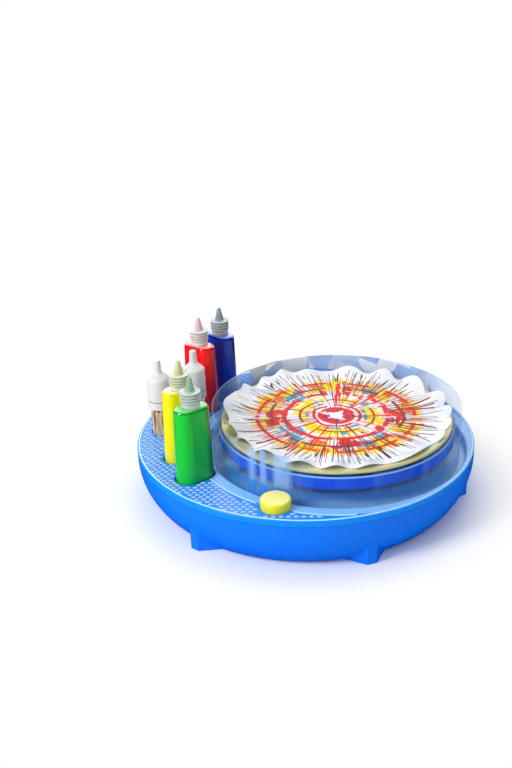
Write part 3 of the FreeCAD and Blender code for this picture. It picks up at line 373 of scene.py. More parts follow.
# the free part of the deck: how far its trim stays from the straight middle of a flat bottle, which runs
# ovalRun to each side, and from the middles of the droppers and the button
crescent = {"ovalRun": 6, "ovalReach": 11.5, "dropperReach": 9, "buttonReach": 13.4}
bigBottles = ("green", "yellow", "red", "blue")
metalDroppers = ("copper", "gold", "silver")


def middleOf(nodeName):
    low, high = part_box(nodeName)
    return (low + high) / 2


buttonPlace = middleOf("power_button")
bottlePlaces = [middleOf("bottle_" + colour) for colour in bigBottles]
dropperPlaces = [middleOf("dropper_" + metal) for metal in metalDroppers]


def isFree(x, y, gap, s):
    if math.hypot(x - buttonPlace.x, y - buttonPlace.y) < (s["buttonReach"] + gap) * mm:
        return False
    for place in dropperPlaces:
        if math.hypot(x - place.x, y - place.y) < (s["dropperReach"] + gap) * mm:
            return False
    for place in bottlePlaces:
        outward = Vector((place.x, place.y, 0)).normalized()
        offset = Vector((x - place.x, y - place.y, 0))
        held = max(-s["ovalRun"] * mm, min(s["ovalRun"] * mm, offset.dot(outward)))
        if (offset - outward * held).length < (s["ovalReach"] + gap) * mm:
            return False
    return True


# beads: one along the deck's edge, and one round the well that ends at edgeReach from the base's middle
beads = {
    "outerRing": 143.2, "innerRing": 121, "thick": 0.8, "sunk": 0.2, "edgeReach": 141.5, "gap": 0.6,
    "segments": 360, "sides": 8,
}


def makeBead(name, radius, centre, s):
    clearSelection()
    bpy.ops.mesh.primitive_torus_add(major_radius=radius * mm, minor_radius=s["thick"] * mm,
                                     major_segments=s["segments"], minor_segments=s["sides"],
                                     location=(centre.x, centre.y, deckTop - s["sunk"] * mm))
    bead = applyPlace(bpy.context.object)

    def isCut(vertex):
        beyond = centre.length > 0 and math.hypot(vertex.co.x, vertex.co.y) > s["edgeReach"] * mm
        return beyond or not isFree(vertex.co.x, vertex.co.y, s["gap"], crescent)

    deleteMarked(bead, isCut)
    closeEnds(bead, s["sides"])
    finishPiece(bead, name, beadHighlightAbs, "base")


makeBead("deckEdgeBead", beads["outerRing"], Vector((0, 0, 0)), beads)
makeBead("crescentBead", beads["innerRing"], turntableAxis, beads)

# raised dashes all over the crescent outside its bead
deckDashes = {
    "pitchX": 5.7, "pitchY": 3.7, "length": 4.6, "width": 2.5, "height": 0.8, "sunk": 0.1, "edgeGap": 3.6,
    "beadGap": 2.2, "pocketGap": 1.6, "segments": 8, "rings": 6,
}


def onCrescent(x, y, s):
    fromBase = math.hypot(x, y)
    fromWell = math.hypot(x - turntableAxis.x, y - turntableAxis.y)
    if fromBase > baseRadius - s["edgeGap"] * mm or fromWell < (beads["innerRing"] + s["beadGap"]) * mm:
        return False
    return isFree(x, y, s["pocketGap"], crescent)


def makeDeckDashes(s):
    reach = baseRadius - s["edgeGap"] * mm
    pitchX = s["pitchX"] * mm
    pitchY = s["pitchY"] * mm
    clearSelection()
    pair = []
    for step in (0, 1):
        bpy.ops.mesh.primitive_uv_sphere_add(segments=s["segments"], ring_count=s["rings"], radius=mm)
        dash = bpy.context.object
        dash.scale = (s["length"] / 2, s["width"] / 2, s["height"])
        applyPlace(dash)
        bpy.ops.object.mode_set(mode="EDIT")
        bpy.ops.mesh.select_all(action="SELECT")
        bpy.ops.mesh.bisect(plane_co=(0, 0, -s["sunk"] * mm), plane_no=(0, 0, 1), clear_inner=True,
                            use_fill=True)
        bpy.ops.object.mode_set(mode="OBJECT")
        count = len(dash.data.vertices)
        dash.location = (-reach + step * pitchX / 2, -reach + step * pitchY, deckTop)
        pair.append(applyPlace(dash))
    dashes = joinPieces(pair)
    columns = int(2 * reach / pitchX) + 1
    rows = int(reach / pitchY) + 1
    for copies, offset in ((columns, (pitchX, 0, 0)), (rows, (0, 2 * pitchY, 0))):
        applyModifier(dashes, "ARRAY", count=copies, use_relative_offset=False, use_constant_offset=True,
                      constant_offset_displace=offset)
    points = dashes.data.vertices
    outside = set()
    for first in range(0, len(points), count):
        island = points[first:first + count]
        x = sum(vertex.co.x for vertex in island) / count
        y = sum(vertex.co.y for vertex in island) / count
        if not onCrescent(x, y, s):
            outside.update(range(first, first + count))
    deleteMarked(dashes, lambda vertex: vertex.index in outside)
    print("deck dashes:", len(dashes.data.vertices) // count)
    finishPiece(dashes, "deckDashes", dashReflectionAbs, "base")


makeDeckDashes(deckDashes)

# platter
platter = {
    "colour": "D9D49A", "shade": "B9B263", "roughness": 0.4, "gloss": 0.35, "ringStep": 1.6,
    "ringDepth": 0.03, "cloudSize": 18, "cloud": 0.7,
}


# Cream polystyrene disc: satin, with fine rings left by the turned mould.
def creamStyrene(s):
    material, tree, shader = newMaterial("creamStyrene", s["colour"], s["roughness"], IOR=1.55,
                                         Specular_IOR_Level=s["gloss"])
    point = turntablePoint(tree)
    reach = reachOf(tree, axes(tree, point))
    rings = maths(tree, "SINE", maths(tree, "MULTIPLY", reach, 2 * math.pi / (s["ringStep"] * mm)))
    addBump(tree, shader, rings, s["ringDepth"], 0.35)
    cloud = maths(tree, "MULTIPLY", noise(tree, point, s["cloudSize"], 4.0), s["cloud"])
    tree.links.new(mixColours(tree, cloud, s["colour"], s["shade"]), shader.inputs["Base Color"])
    return material


dress("platter_disc", creamStyrene(platter))

# power button
powerButton = {
    "top": "F7EF8C", "side": "F1EA2E", "roughness": 0.34, "gloss": 0.35, "topFocus": 3.0, "grainSize": 0.9,
    "grainDepth": 0.02,
}


# Pale yellow ABS, moulded with a fine grain, paler on top where the light falls.
def yellowAbs(s):
    material, tree, shader = newMaterial("yellowAbs", s["side"], s["roughness"], IOR=1.53,
                                         Specular_IOR_Level=s["gloss"])
    up = maths(tree, "MAXIMUM", axes(tree, addNode(tree, "NewGeometry").outputs["Normal"])[2], 0.0)
    onTop = maths(tree, "POWER", up, s["topFocus"])
    tree.links.new(mixColours(tree, onTop, s["side"], s["top"]), shader.inputs["Base Color"])
    addBump(tree, shader, noise(tree, objectPoint(tree), s["grainSize"], 3.0), s["grainDepth"], 0.5)
    return material


dress("power_button", yellowAbs(powerButton))

# splash guard; a band is an angle about the turntable and how milky the film looks there, partly its real
# laps and partly painted highlights and painted reflections; a facet is a share and its colour, a painted
# reflection on the creases;
# backSpan and the span of the rim's painted highlight run away from the viewer, the span of the edge's
# painted highlight is above the table and the span of the foot's painted reflection is above the deck
guardFilm = {
    "colour": "9CCBFF", "foot": "2E9CF8", "footHaze": 0.14, "rim": 0.4, "creaseReflection": 0.8, "roughness": 0.08,
    "facetSize": 17, "streakSize": 14, "streakAndSheenHaze": (-0.02, 0.07), "streakDepth": 0.25,
    "backSpan": (40, 80), "rimSpan": (-90, 60), "edgeHighlightSpan": (82.8, 83.3), "footSpan": (7, 10),
    "facetReflections": [(0.15, "2A62C4"), (0.35, "6CA4F2"), (0.6, "B0D0FF"), (0.9, "E6F0FF")],
    "lapAndReflectionBands": [(-180, 0.1), (-150, 0.1), (-136, 0.06), (-132.4, 0.08), (-131.6, 0.5), (-129.6, 0.45),
              (-129.0, 0.06), (-125.8, 0.06), (-125.2, 0.45), (-123.4, 0.4), (-122.8, 0.05), (-119.6, 0.06),
              (-119, 0.42), (-112, 0.34), (-110.5, 0.04), (-60, 0.02), (-20, 0.08), (40, 0.3), (180, 0.14)],
}


# Clear polyester film: nearly invisible face on, with upright rolling marks that carry a painted
# reflection, milky laps beside bands of painted highlight and painted reflection, a painted reflection on
# creases at the back, a painted highlight on its cut edge and a painted reflection of the well's blue at
# its foot.
def polyesterFilm(s):
    material, tree, shader = newMaterial("polyesterFilm", s["colour"], s["roughness"], IOR=1.57)
    point = turntablePoint(tree)
    parts = axes(tree, point)
    angle = maths(tree, "ARCTAN2", parts[1], parts[0])
    turn = maths(tree, "ADD", maths(tree, "DIVIDE", angle, 2 * math.pi), 0.5)
    # partly the film's real laps, partly bands of painted highlight and painted reflection
    lapAndReflectionBands = ramp(tree, turn, [(degrees / 360 + 0.5, haze) for degrees, haze in s["lapAndReflectionBands"]])
    around = addNode(tree, "CombineXYZ", {0: maths(tree, "MULTIPLY", angle, 0.1),
                                          1: maths(tree, "MULTIPLY", parts[2], 0.1)}).outputs[0]
    streaks = noise(tree, around, s["streakSize"], 3.0, 0.6)
    # haze along the upright streaks: partly the real rolling marks, partly a painted reflection; the bump
    # is the real marks
    marksAndSheen = spread(tree, streaks, 0.4, 0.75, *s["streakAndSheenHaze"])
    cells = addNode(tree, "TexVoronoi", {"Vector": point, "Scale": 1 / (s["facetSize"] * mm)})
    facet = axes(tree, cells.outputs["Color"])[0]
    atBack = spreadOver(tree, parts[1], s["backSpan"])
    # painted reflection: light and dark patches over creases at the back, in haze here and in colour below
    creaseReflection = maths(tree, "MULTIPLY", atBack, maths(tree, "MULTIPLY", facet, s["creaseReflection"]))
    # painted highlight on the film's top cut edge, four times as strong at the back as at the front
    rim = spreadOver(tree, parts[1], s["rimSpan"], 0.0, s["rim"] / 4, s["rim"])
    topEdgeHighlight = maths(tree, "MULTIPLY", spreadOver(tree, parts[2], s["edgeHighlightSpan"]), rim)
    # painted reflection of the well's blue at the film's foot, in haze and in colour
    foot = spreadOver(tree, parts[2], s["footSpan"], deckTop, 1.0, 0.0)
    hazes = maths(tree, "ADD", lapAndReflectionBands, marksAndSheen)
    edges = maths(tree, "ADD", creaseReflection, topEdgeHighlight)
    veil = maths(tree, "ADD", hazes, edges, clamp=True)
    veil = maths(tree, "ADD", veil, maths(tree, "MULTIPLY", foot, s["footHaze"]), clamp=True)
    tree.links.new(veil, shader.inputs["Alpha"])
    tint = mixColours(tree, atBack, s["colour"], ramp(tree, facet, s["facetReflections"]))
    tree.links.new(mixColours(tree, foot, tint, s["foot"]), shader.inputs["Base Color"])
    addBump(tree, shader, streaks, s["streakDepth"], 0.4)
    return material


dress("splash_guard", polyesterFilm(guardFilm))
print("platter, button and film dressed")

# paint bottles; level is the height above the deck that the paint comes to, and the spans are about it
squeezeBottles = {
    # deep is both the colour of a bottle's painted shade and of the line where its paint ends
    "green": {"paint": "18CC3C", "pale": "7ADF88", "deep": "045014", "cap": "C6D0C9", "cone": "8FB39B"},
    "yellow": {"paint": "FFF000", "pale": "FFF9A6", "deep": "D2BC00", "cap": "DDDCC2", "cone": "D2D19E"},
    "red": {"paint": "FF0808", "pale": "FF9C8C", "deep": "7E0010", "cap": "E6DEDE", "cone": "DDBDBD"},
    "blue": {"paint": "0034BE", "pale": "7C9CF0", "deep": "020A50", "cap": "B4BCC4", "cone": "8E98A2"},
}
paintFill = {
    "level": 60.6, "lineStart": (-1.4, -0.4), "lineEnd": (0.2, 0.7), "emptyStart": (0.2, 1.2), "line": 0.55,
    "cloudSize": 14, "cloud": 0.3, "cloudShade": 0.75, "cloudDepth": 0.35, "roughness": 0.2, "skin": 0.35,
}


# Natural polythene squeeze bottle full of acrylic paint: the paint's colour under a soft clear skin, with a
# painted shade towards its outline and on its right side, a darker line where the paint ends and a milky
# empty shoulder above it.
def filledPolythene(name, colours, s):
    material, tree, shader = newMaterial(name, colours["paint"], s["roughness"], IOR=1.5,
                                         Coat_Weight=s["skin"], Coat_Roughness=0.1)
    point = objectPoint(tree)
    height = axes(tree, point)[2]
    cloud = noise(tree, point, s["cloudSize"], 3.0)
    # painted shade: darker towards the outline and on the right side, which faces away from the key light
    edge = maths(tree, "POWER", addNode(tree, "LayerWeight", {"Blend": 0.3}).outputs["Facing"], 4.0)
    side = axes(tree, addNode(tree, "NewGeometry").outputs["Normal"])[0]
    paintedOutlineAndSideShade = maths(tree, "MAXIMUM", edge, spread(tree, side, 0.45, 1.0, 0.0, 0.8))
    body = mixColours(tree, paintedOutlineAndSideShade, colours["paint"], colours["deep"])
    body = mixColours(tree, maths(tree, "MULTIPLY", cloud, s["cloud"]), body,
                      darker(colours["paint"], s["cloudShade"]))
    level = deckTop + s["level"] * mm
    line = maths(tree, "MULTIPLY", spreadOver(tree, height, s["lineStart"], level),
                 spreadOver(tree, height, s["lineEnd"], level, 1.0, 0.0))
    body = mixColours(tree, maths(tree, "MULTIPLY", line, s["line"]), body, colours["deep"])
    above = spreadOver(tree, height, s["emptyStart"], level)
    tree.links.new(mixColours(tree, above, body, colours["pale"]), shader.inputs["Base Color"])
    addBump(tree, shader, cloud, s["cloudDepth"], 0.25)
    return material


# ribbed caps with a cone spout; seat is the height of the bottle's top above the deck
ribbedCap = {
    "seat": 62, "skirtRadius": 7.3, "skirtHeight": 3.5, "coreRadius": 7.15, "collarHeight": 9.5, "ribs": 4,
    "ribRadius": 8.2, "ribHeight": 1.2, "ribStart": 0.7, "ribDrop": 0.4, "ridges": 30, "ridgeDepth": 0.5,
    "lidInset": 0.15, "lidHeight": 1, "coneFoot": 4, "coneTip": 1.4, "coneHeight": 11.5, "flangeRim": 0.7,
    "flangeHeight": 0.6, "overlap": 0.5, "sink": 0.2, "edge": 0.3, "lidEdge": 0.4, "coneEdge": 0.35,
    "flangeEdge": 0.25, "sides": 48, "coneSides": 32, "edgeAngle": 40,
    # the groove values give a painted shade in the grooves between the ribs
    "roughness": 0.36, "glow": 0.25, "glowDepth": 3, "coneSpan": (0, 2), "grooveDepth": 1.6,
    "grooveShade": 0.45, "paintedGrooveShade": 0.75, "grainSize": 1.1, "grainDepth": 0.02,
}


# Milky polythene: the paint's colour glows faintly through the cap and more through its cone; the grooves
# between the ribs get a painted shade.
def milkyPolythene(name, colours, s):
    material, tree, shader = newMaterial(name, colours["cap"], s["roughness"], IOR=1.5,
                                         Subsurface_Weight=s["glow"], Subsurface_Scale=s["glowDepth"] * mm)
    point = objectPoint(tree)
    coneStart = deckTop + (s["seat"] + s["skirtHeight"] + s["collarHeight"]) * mm
    cone = spreadOver(tree, axes(tree, point)[2], s["coneSpan"], coneStart)
    # painted shade: where ambient occlusion finds the grooves closed in, the colour darkens
    openness = addNode(tree, "AmbientOcclusion", {"Distance": s["grooveDepth"] * mm}, samples=4)
    paintedGrooveShade = spread(tree, openness.outputs["AO"], 0.35, 0.85, s["paintedGrooveShade"], 0.0)
    colour = mixColours(tree, cone, colours["cap"], colours["cone"])
    colour = mixColours(tree, paintedGrooveShade, colour, darker(colours["cone"], s["grooveShade"]))
    tree.links.new(colour, shader.inputs["Base Color"])
    addBump(tree, shader, noise(tree, point, s["grainSize"], 3.0), s["grainDepth"], 0.5)
    return material


def turnedDisc(radius, topRadius, height, bottom, bevel, sides):
    clearSelection()
    bpy.ops.mesh.primitive_cone_add(vertices=sides, radius1=radius * mm, radius2=topRadius * mm,
                                    depth=height * mm, location=(0, 0, (bottom + height / 2) * mm))
    item = applyPlace(bpy.context.object)
    if bevel:
        applyModifier(item, "BEVEL", width=bevel * mm, segments=2, limit_method="ANGLE",
                      angle_limit=math.radians(ribbedCap["edgeAngle"]))
    return item


# every second side of the core, pulled out
def addRidges(core, depth):
    choose(core)
    bpy.ops.object.mode_set(mode="EDIT")
    bpy.ops.mesh.select_mode(type="FACE")
    bpy.ops.mesh.select_all(action="DESELECT")
    bpy.ops.object.mode_set(mode="OBJECT")
    for face in core.data.polygons:
        upright = abs(face.normal.z) < 0.1
        face.select = upright and face.index % 2 == 0
    bpy.ops.object.mode_set(mode="EDIT")
    bpy.ops.mesh.extrude_faces_move(TRANSFORM_OT_shrink_fatten={"value": depth * mm})
    bpy.ops.mesh.select_mode(type="VERT")
    bpy.ops.object.mode_set(mode="OBJECT")


def makeRibbedCap(s):
    sides = s["sides"]
    low = s["skirtHeight"]
    top = low + s["collarHeight"]
    skirt = turnedDisc(s["skirtRadius"], s["skirtRadius"], low + s["overlap"], 0, s["edge"], sides)
    core = turnedDisc(s["coreRadius"], s["coreRadius"], s["collarHeight"], low, 0, s["ridges"] * 2)
    addRidges(core, s["ridgeDepth"])
    parts = [skirt, core]
    for i in range(s["ribs"]):
        bottom = low + s["collarHeight"] / s["ribs"] * (i + s["ribStart"]) - s["ribDrop"]
        parts.append(turnedDisc(s["ribRadius"], s["ribRadius"], s["ribHeight"], bottom, s["edge"], sides))
    lid = s["ribRadius"] - s["lidInset"]
    parts.append(turnedDisc(lid, lid, s["lidHeight"], top - s["lidHeight"], s["lidEdge"], sides))
    sides = s["coneSides"]
    parts.append(turnedDisc(s["coneFoot"], s["coneTip"], s["coneHeight"], top, s["coneEdge"], sides))
    flange = s["coneFoot"] + s["flangeRim"]
    parts.append(turnedDisc(flange, flange, s["flangeHeight"], top - s["sink"], s["flangeEdge"], sides))
    return joinPieces(parts)


capMaster = makeRibbedCap(ribbedCap)
for colourName, colours in squeezeBottles.items():
    dress("bottle_" + colourName, filledPolythene(colourName + "PaintBottle", colours, paintFill))
    place = middleOf("nozzle_" + colourName)
    cap = capMaster.copy()
    cap.data = capMaster.data.copy()
    scene.collection.objects.link(cap)
    cap.location = (place.x, place.y, deckTop + ribbedCap["seat"] * mm)
    capMaterial = milkyPolythene(colourName + "CapPolythene", colours, ribbedCap)
    finishPiece(cap, "ribbedCap" + colourName.title(), capMaterial, "paint_" + colourName)
    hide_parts("nozzle_" + colourName)
bpy.data.objects.remove(capMaster)

# round bottles of metallic paint
dropperBottles = {
    "copper": {"pale": "F4DDBB", "mid": "D2AE88", "deep": "6F584A"},
    "gold": {"pale": "F0DC9F", "mid": "CFAE5A", "deep": "806224"},
    "silver": {"pale": "EEF0F2", "mid": "BCC1C6", "deep": "71767C"},
}
metallicFill = {
    "roughness": 0.34, "metal": 0.15, "wall": 0.6, "wallRoughness": 0.05, "flakeSize": 3.4, "stretch": 0.08,
}


# Clear PET bottle of metallic paint: mica flakes settle in upright streaks behind the glossy wall.
def metallicPaint(name, colours, s):
    material, tree, shader = newMaterial(name, colours["pale"], s["roughness"], Metallic=s["metal"],
                                         Coat_Weight=s["wall"], Coat_Roughness=s["wallRoughness"])
    streaks = noise(tree, objectPoint(tree, (1, 1, s["stretch"])), s["flakeSize"], 3.0, 0.6)
    stops = [(0.34, colours["deep"]), (0.44, colours["mid"]), (0.54, colours["pale"])]
    tree.links.new(ramp(tree, streaks, stops), shader.inputs["Base Color"])
    return material


# their caps; partLine is the height of the skirt's parting line above the deck
whiteCaps = {
    "colour": "DEDEE0", "line": "6E6C70", "partLine": 31, "lineSpan": (0.15, 0.5), "roughness": 0.34,
    "glow": 0.1, "glowDepth": 2, "grainSize": 1.3, "grainDepth": 0.02,
}


# White polypropylene cap, moulded, with the parting line of its skirt.
def whitePolypropylene(s):
    material, tree, shader = newMaterial("whitePolypropylene", s["colour"], s["roughness"], IOR=1.5,
                                         Subsurface_Weight=s["glow"], Subsurface_Scale=s["glowDepth"] * mm)
    point = objectPoint(tree)
    height = axes(tree, point)[2]
    away = maths(tree, "ABSOLUTE", maths(tree, "SUBTRACT", height, deckTop + s["partLine"] * mm))
    line = spreadOver(tree, away, s["lineSpan"], 0.0, 1.0, 0.0)
    tree.links.new(mixColours(tree, line, s["colour"], s["line"]), shader.inputs["Base Color"])
    addBump(tree, shader, noise(tree, point, s["grainSize"], 3.0), s["grainDepth"], 0.5)
    return material


whiteCap = whitePolypropylene(whiteCaps)
for metal, colours in dropperBottles.items():
    dress("dropper_" + metal, metallicPaint(metal + "Paint", colours, metallicFill))
    dress("dropper_cap_" + metal, whiteCap)
print("bottles dressed")

# parts inside the base
innerFinishes = {
    "turnedSteel": {"colour": "C3C6CA", "roughness": 0.28, "metal": 1.0,
                    "nodes": ["spindle", "idler_axle", "motor_shaft"]},
    "zincSteel": {"colour": "B7BBC0", "roughness": 0.36, "metal": 1.0,
                  "nodes": ["tray_screw", "gear_plate_screws", "motor_screws", "cover_screws",
                            "battery_door_screw"]},
    "springSteel": {"colour": "A4A8AE", "roughness": 0.3, "metal": 1.0,
                    "nodes": ["button_spring", "button_clip", "spindle_clip"]},
    "nickel": {"colour": "CFCBBE", "roughness": 0.25, "metal": 1.0,
               "nodes": ["contact_springs", "contact_plates"]},
    "motorCan": {"colour": "BFC2C5", "roughness": 0.34, "metal": 1.0, "nodes": ["motor_case"]},
    "brass": {"colour": "D2B063", "roughness": 0.27, "metal": 1.0,
              "nodes": ["upper_bush", "lower_bush", "motor_pinion"]},
    "acetal": {"colour": "EFEDE4", "roughness": 0.4, "metal": 0.0,
               "nodes": ["spindle_gear", "idler_gear", "switch_plunger"]},
    "blackNylon": {"colour": "26282C", "roughness": 0.45, "metal": 0.0,
                   "nodes": ["gear_plate", "switch_bracket", "push_switch"]},
    "cellJacket": {"colour": "35509E", "roughness": 0.3, "metal": 0.0, "nodes": ["battery_cells"]},
    "redWireCover": {"colour": "C22626", "roughness": 0.42, "metal": 0.0,
                     "nodes": ["lead_battery_switch", "lead_switch_motor"]},
    "blackWireCover": {"colour": "232427", "roughness": 0.42, "metal": 0.0,
                       "nodes": ["lead_motor_battery"]},
}
innerWear = {"speckleSize": 2.2, "speckle": 0.6, "speckleShade": 0.8, "speckleDepth": 0.02}


# One finish of the inner parts: an even colour with the fine speckle of handling.
def innerMaterial(name, finish, s):
    material, tree, shader = newMaterial(name, finish["colour"], finish["roughness"],
                                         Metallic=finish["metal"])
    speckle = noise(tree, objectPoint(tree), s["speckleSize"], 4.0, 0.6)
    tint = mixColours(tree, maths(tree, "MULTIPLY", speckle, s["speckle"]), finish["colour"],
                      darker(finish["colour"], s["speckleShade"]))
    tree.links.new(tint, shader.inputs["Base Color"])
    addBump(tree, shader, speckle, s["speckleDepth"], 0.4)
    return material


innerMaterials = {name: innerMaterial(name, finish, innerWear) for name, finish in innerFinishes.items()}
for name, finish in innerFinishes.items():
    for nodeName in finish["nodes"]:
        dress(nodeName, innerMaterials[name])
print("inner parts dressed")

# the coil spring under the button, built at one length; the real one gets shorter as the button goes down
buttonSpring = {"radius": 6, "wire": 0.8, "wireSides": 12, "turns": 7, "stepsPerTurn": 40, "travel": 3}


def makeButtonSpring(s):
    low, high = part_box("button_spring")
    wire = s["wire"] * mm
    clearSelection()
    bpy.ops.mesh.primitive_circle_add(vertices=s["wireSides"], radius=wire / 2, fill_type="NOTHING",
                                      location=(s["radius"] * mm, 0, 0), rotation=(math.pi / 2, 0, 0))
    spring = applyPlace(bpy.context.object)
    steps = s["turns"] * s["stepsPerTurn"]
    applyModifier(spring, "SCREW", angle=2 * math.pi * s["turns"], screw_offset=high.z - low.z - wire,
                  steps=steps, render_steps=steps, use_merge_vertices=False)
    closeEnds(spring, s["wireSides"])
    spring.location = (buttonPlace.x, buttonPlace.y, low.z + wire / 2)
    finishPiece(spring, "buttonSpringCoil", innerMaterials["springSteel"], "base")
    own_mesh(spring)
    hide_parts("button_spring")


makeButtonSpring(buttonSpring)

# art paper, flat up to its ruffled edge; the edge's waves wander by drift and jitter and differ in size
artPaper = {
    "bottom": 71.1, "reach": 94, "rings": 26, "segments": 360, "flat": 66, "thick": 0.35,
    "scallops": 19, "drift": 1.7, "jitter": 1.1, "wave": 3.6, "waveTurn": 0.9, "lift": 4.4,
    "liftCurve": 1.5, "evenness": 0.65, "crumple": 9, "crumpleAngle": 150, "crumpleWidth": 0.75, "folds": 9,
}


def makeArtPaper(s):
    clearSelection()
    bpy.ops.mesh.primitive_circle_add(vertices=s["segments"], radius=s["reach"] * mm, fill_type="NOTHING")
    sheet = bpy.context.object
    bpy.ops.object.mode_set(mode="EDIT")
    bpy.ops.mesh.select_all(action="SELECT")
    for ring in range(s["rings"], 1, -1):
        bpy.ops.mesh.extrude_edges_move()
        share = (ring - 1) / ring
        bpy.ops.transform.resize(value=(share, share, 1), center_override=(0, 0, 0))
    bpy.ops.mesh.edge_face_add()
    bpy.ops.object.mode_set(mode="OBJECT")
    edge = s["reach"] * mm
    flat = s["flat"] * mm
    for vertex in sheet.data.vertices:
        x, y = vertex.co.x, vertex.co.y
        angle = math.atan2(y, x)
        share = max(0.0, (math.hypot(x, y) - flat) / (edge - flat))
        wander = s["drift"] * math.sin(3 * angle) + s["jitter"] * math.sin(5 * angle + 1)
        turns = angle * s["scallops"] + wander
        size = s["evenness"] + (1 - s["evenness"]) * math.sin(2 * angle + 0.6)
        apart = (angle - math.radians(s["crumpleAngle"]) + math.pi) % (2 * math.pi) - math.pi
        crumpled = math.exp(-(apart / s["crumpleWidth"]) ** 2)
        fold = abs(((angle * s["folds"] / math.pi) % 2) - 1)
        lift = s["lift"] * size * share ** s["liftCurve"] * (1 + math.sin(turns))
        lift = lift + s["crumple"] * crumpled * share ** 2 * fold
        further = 1 + s["wave"] * mm * size * share ** 3 * math.sin(turns + s["waveTurn"]) / edge
        vertex.co = (x * further, y * further, lift * mm)
    applyModifier(sheet, "SOLIDIFY", thickness=s["thick"] * mm, offset=1)
    sheet.location = (turntableAxis.x, turntableAxis.y, s["bottom"] * mm)
    return sheet


# paint on the paper, lowest layer first; a blob is (colour, blobs round, blobs outwards per mm, shift, cut,
# start, stop, soft), an arc is (colour, shift, cut, radius, width) and a spoke is (colour, spokes round,
# shift, thickness, start, stop, cut); another shift gives other shapes, and a higher cut gives fewer
spinPaint = {
    # shade is the colour of a painted shade, laid on in wide random blotches of shadeSize
    "paper": "F2F4F8", "shade": "B9C7DE", "shadeSize": 26, "fibreSize": 1.0, "fibreDepth": 0.03,
    "dryRoughness": 0.75, "wetRoughness": 0.35, "gloss": 0.06, "bend": 6, "wander": 5, "ragged": 6,
    "blobs": [
        ("yellow", 2.4, 0.03, 3.0, 0.45, 22, 42, 4), ("yellow", 3.2, 0.05, 8.0, 0.45, 46, 72, 5),
        ("orange", 3.0, 0.05, 15.0, 0.56, 40, 70, 6), ("teal", 1.6, 0.03, 24.0, 0.6, 26, 66, 6),
        ("red", 3.4, 0.06, 14.0, 0.56, 34, 64, 6), ("red", 1.2, 0.09, 33.0, 0.42, 5, 17, 2),
        ("red", 40, 0.03, 51.0, 0.56, 56, 78, 8), ("crimson", 44, 0.02, 31.0, 0.57, 50, 82, 9),
        ("yellow", 34, 0.02, 63.0, 0.55, 58, 80, 8),
    ],
    "arcs": [
        ("red", 4.0, 0.38, 20, 2.2), ("crimson", 9.0, 0.42, 31, 1.6), ("red", 13.0, 0.38, 44, 3.4),
        ("white", 17.0, 0.42, 37, 1.6), ("crimson", 21.0, 0.42, 56, 2.2), ("white", 27.0, 0.42, 49, 1.2),
        ("red", 43.0, 0.46, 66, 2.6), ("navy", 31.0, 0.45, 10, 1.6), ("teal", 35.0, 0.5, 25, 2.4),
    ],
    "spokes": [
        ("crimson", 96, 5.0, 0.8, 40, 88, 0.4), ("red", 44, 11.0, 0.9, 18, 70, 0.4),
        ("ink", 84, 19.0, 0.65, 46, 92, 0.42), ("ink", 23, 27.0, 0.8, 10, 92, 0.4),
    ],
    "colours": {"yellow": "FFE400", "orange": "F07C10", "red": "E2000C", "crimson": "8E0430",
                "teal": "1CA8CC", "navy": "10207E", "ink": "12051C", "white": "F2F4F8"},
}


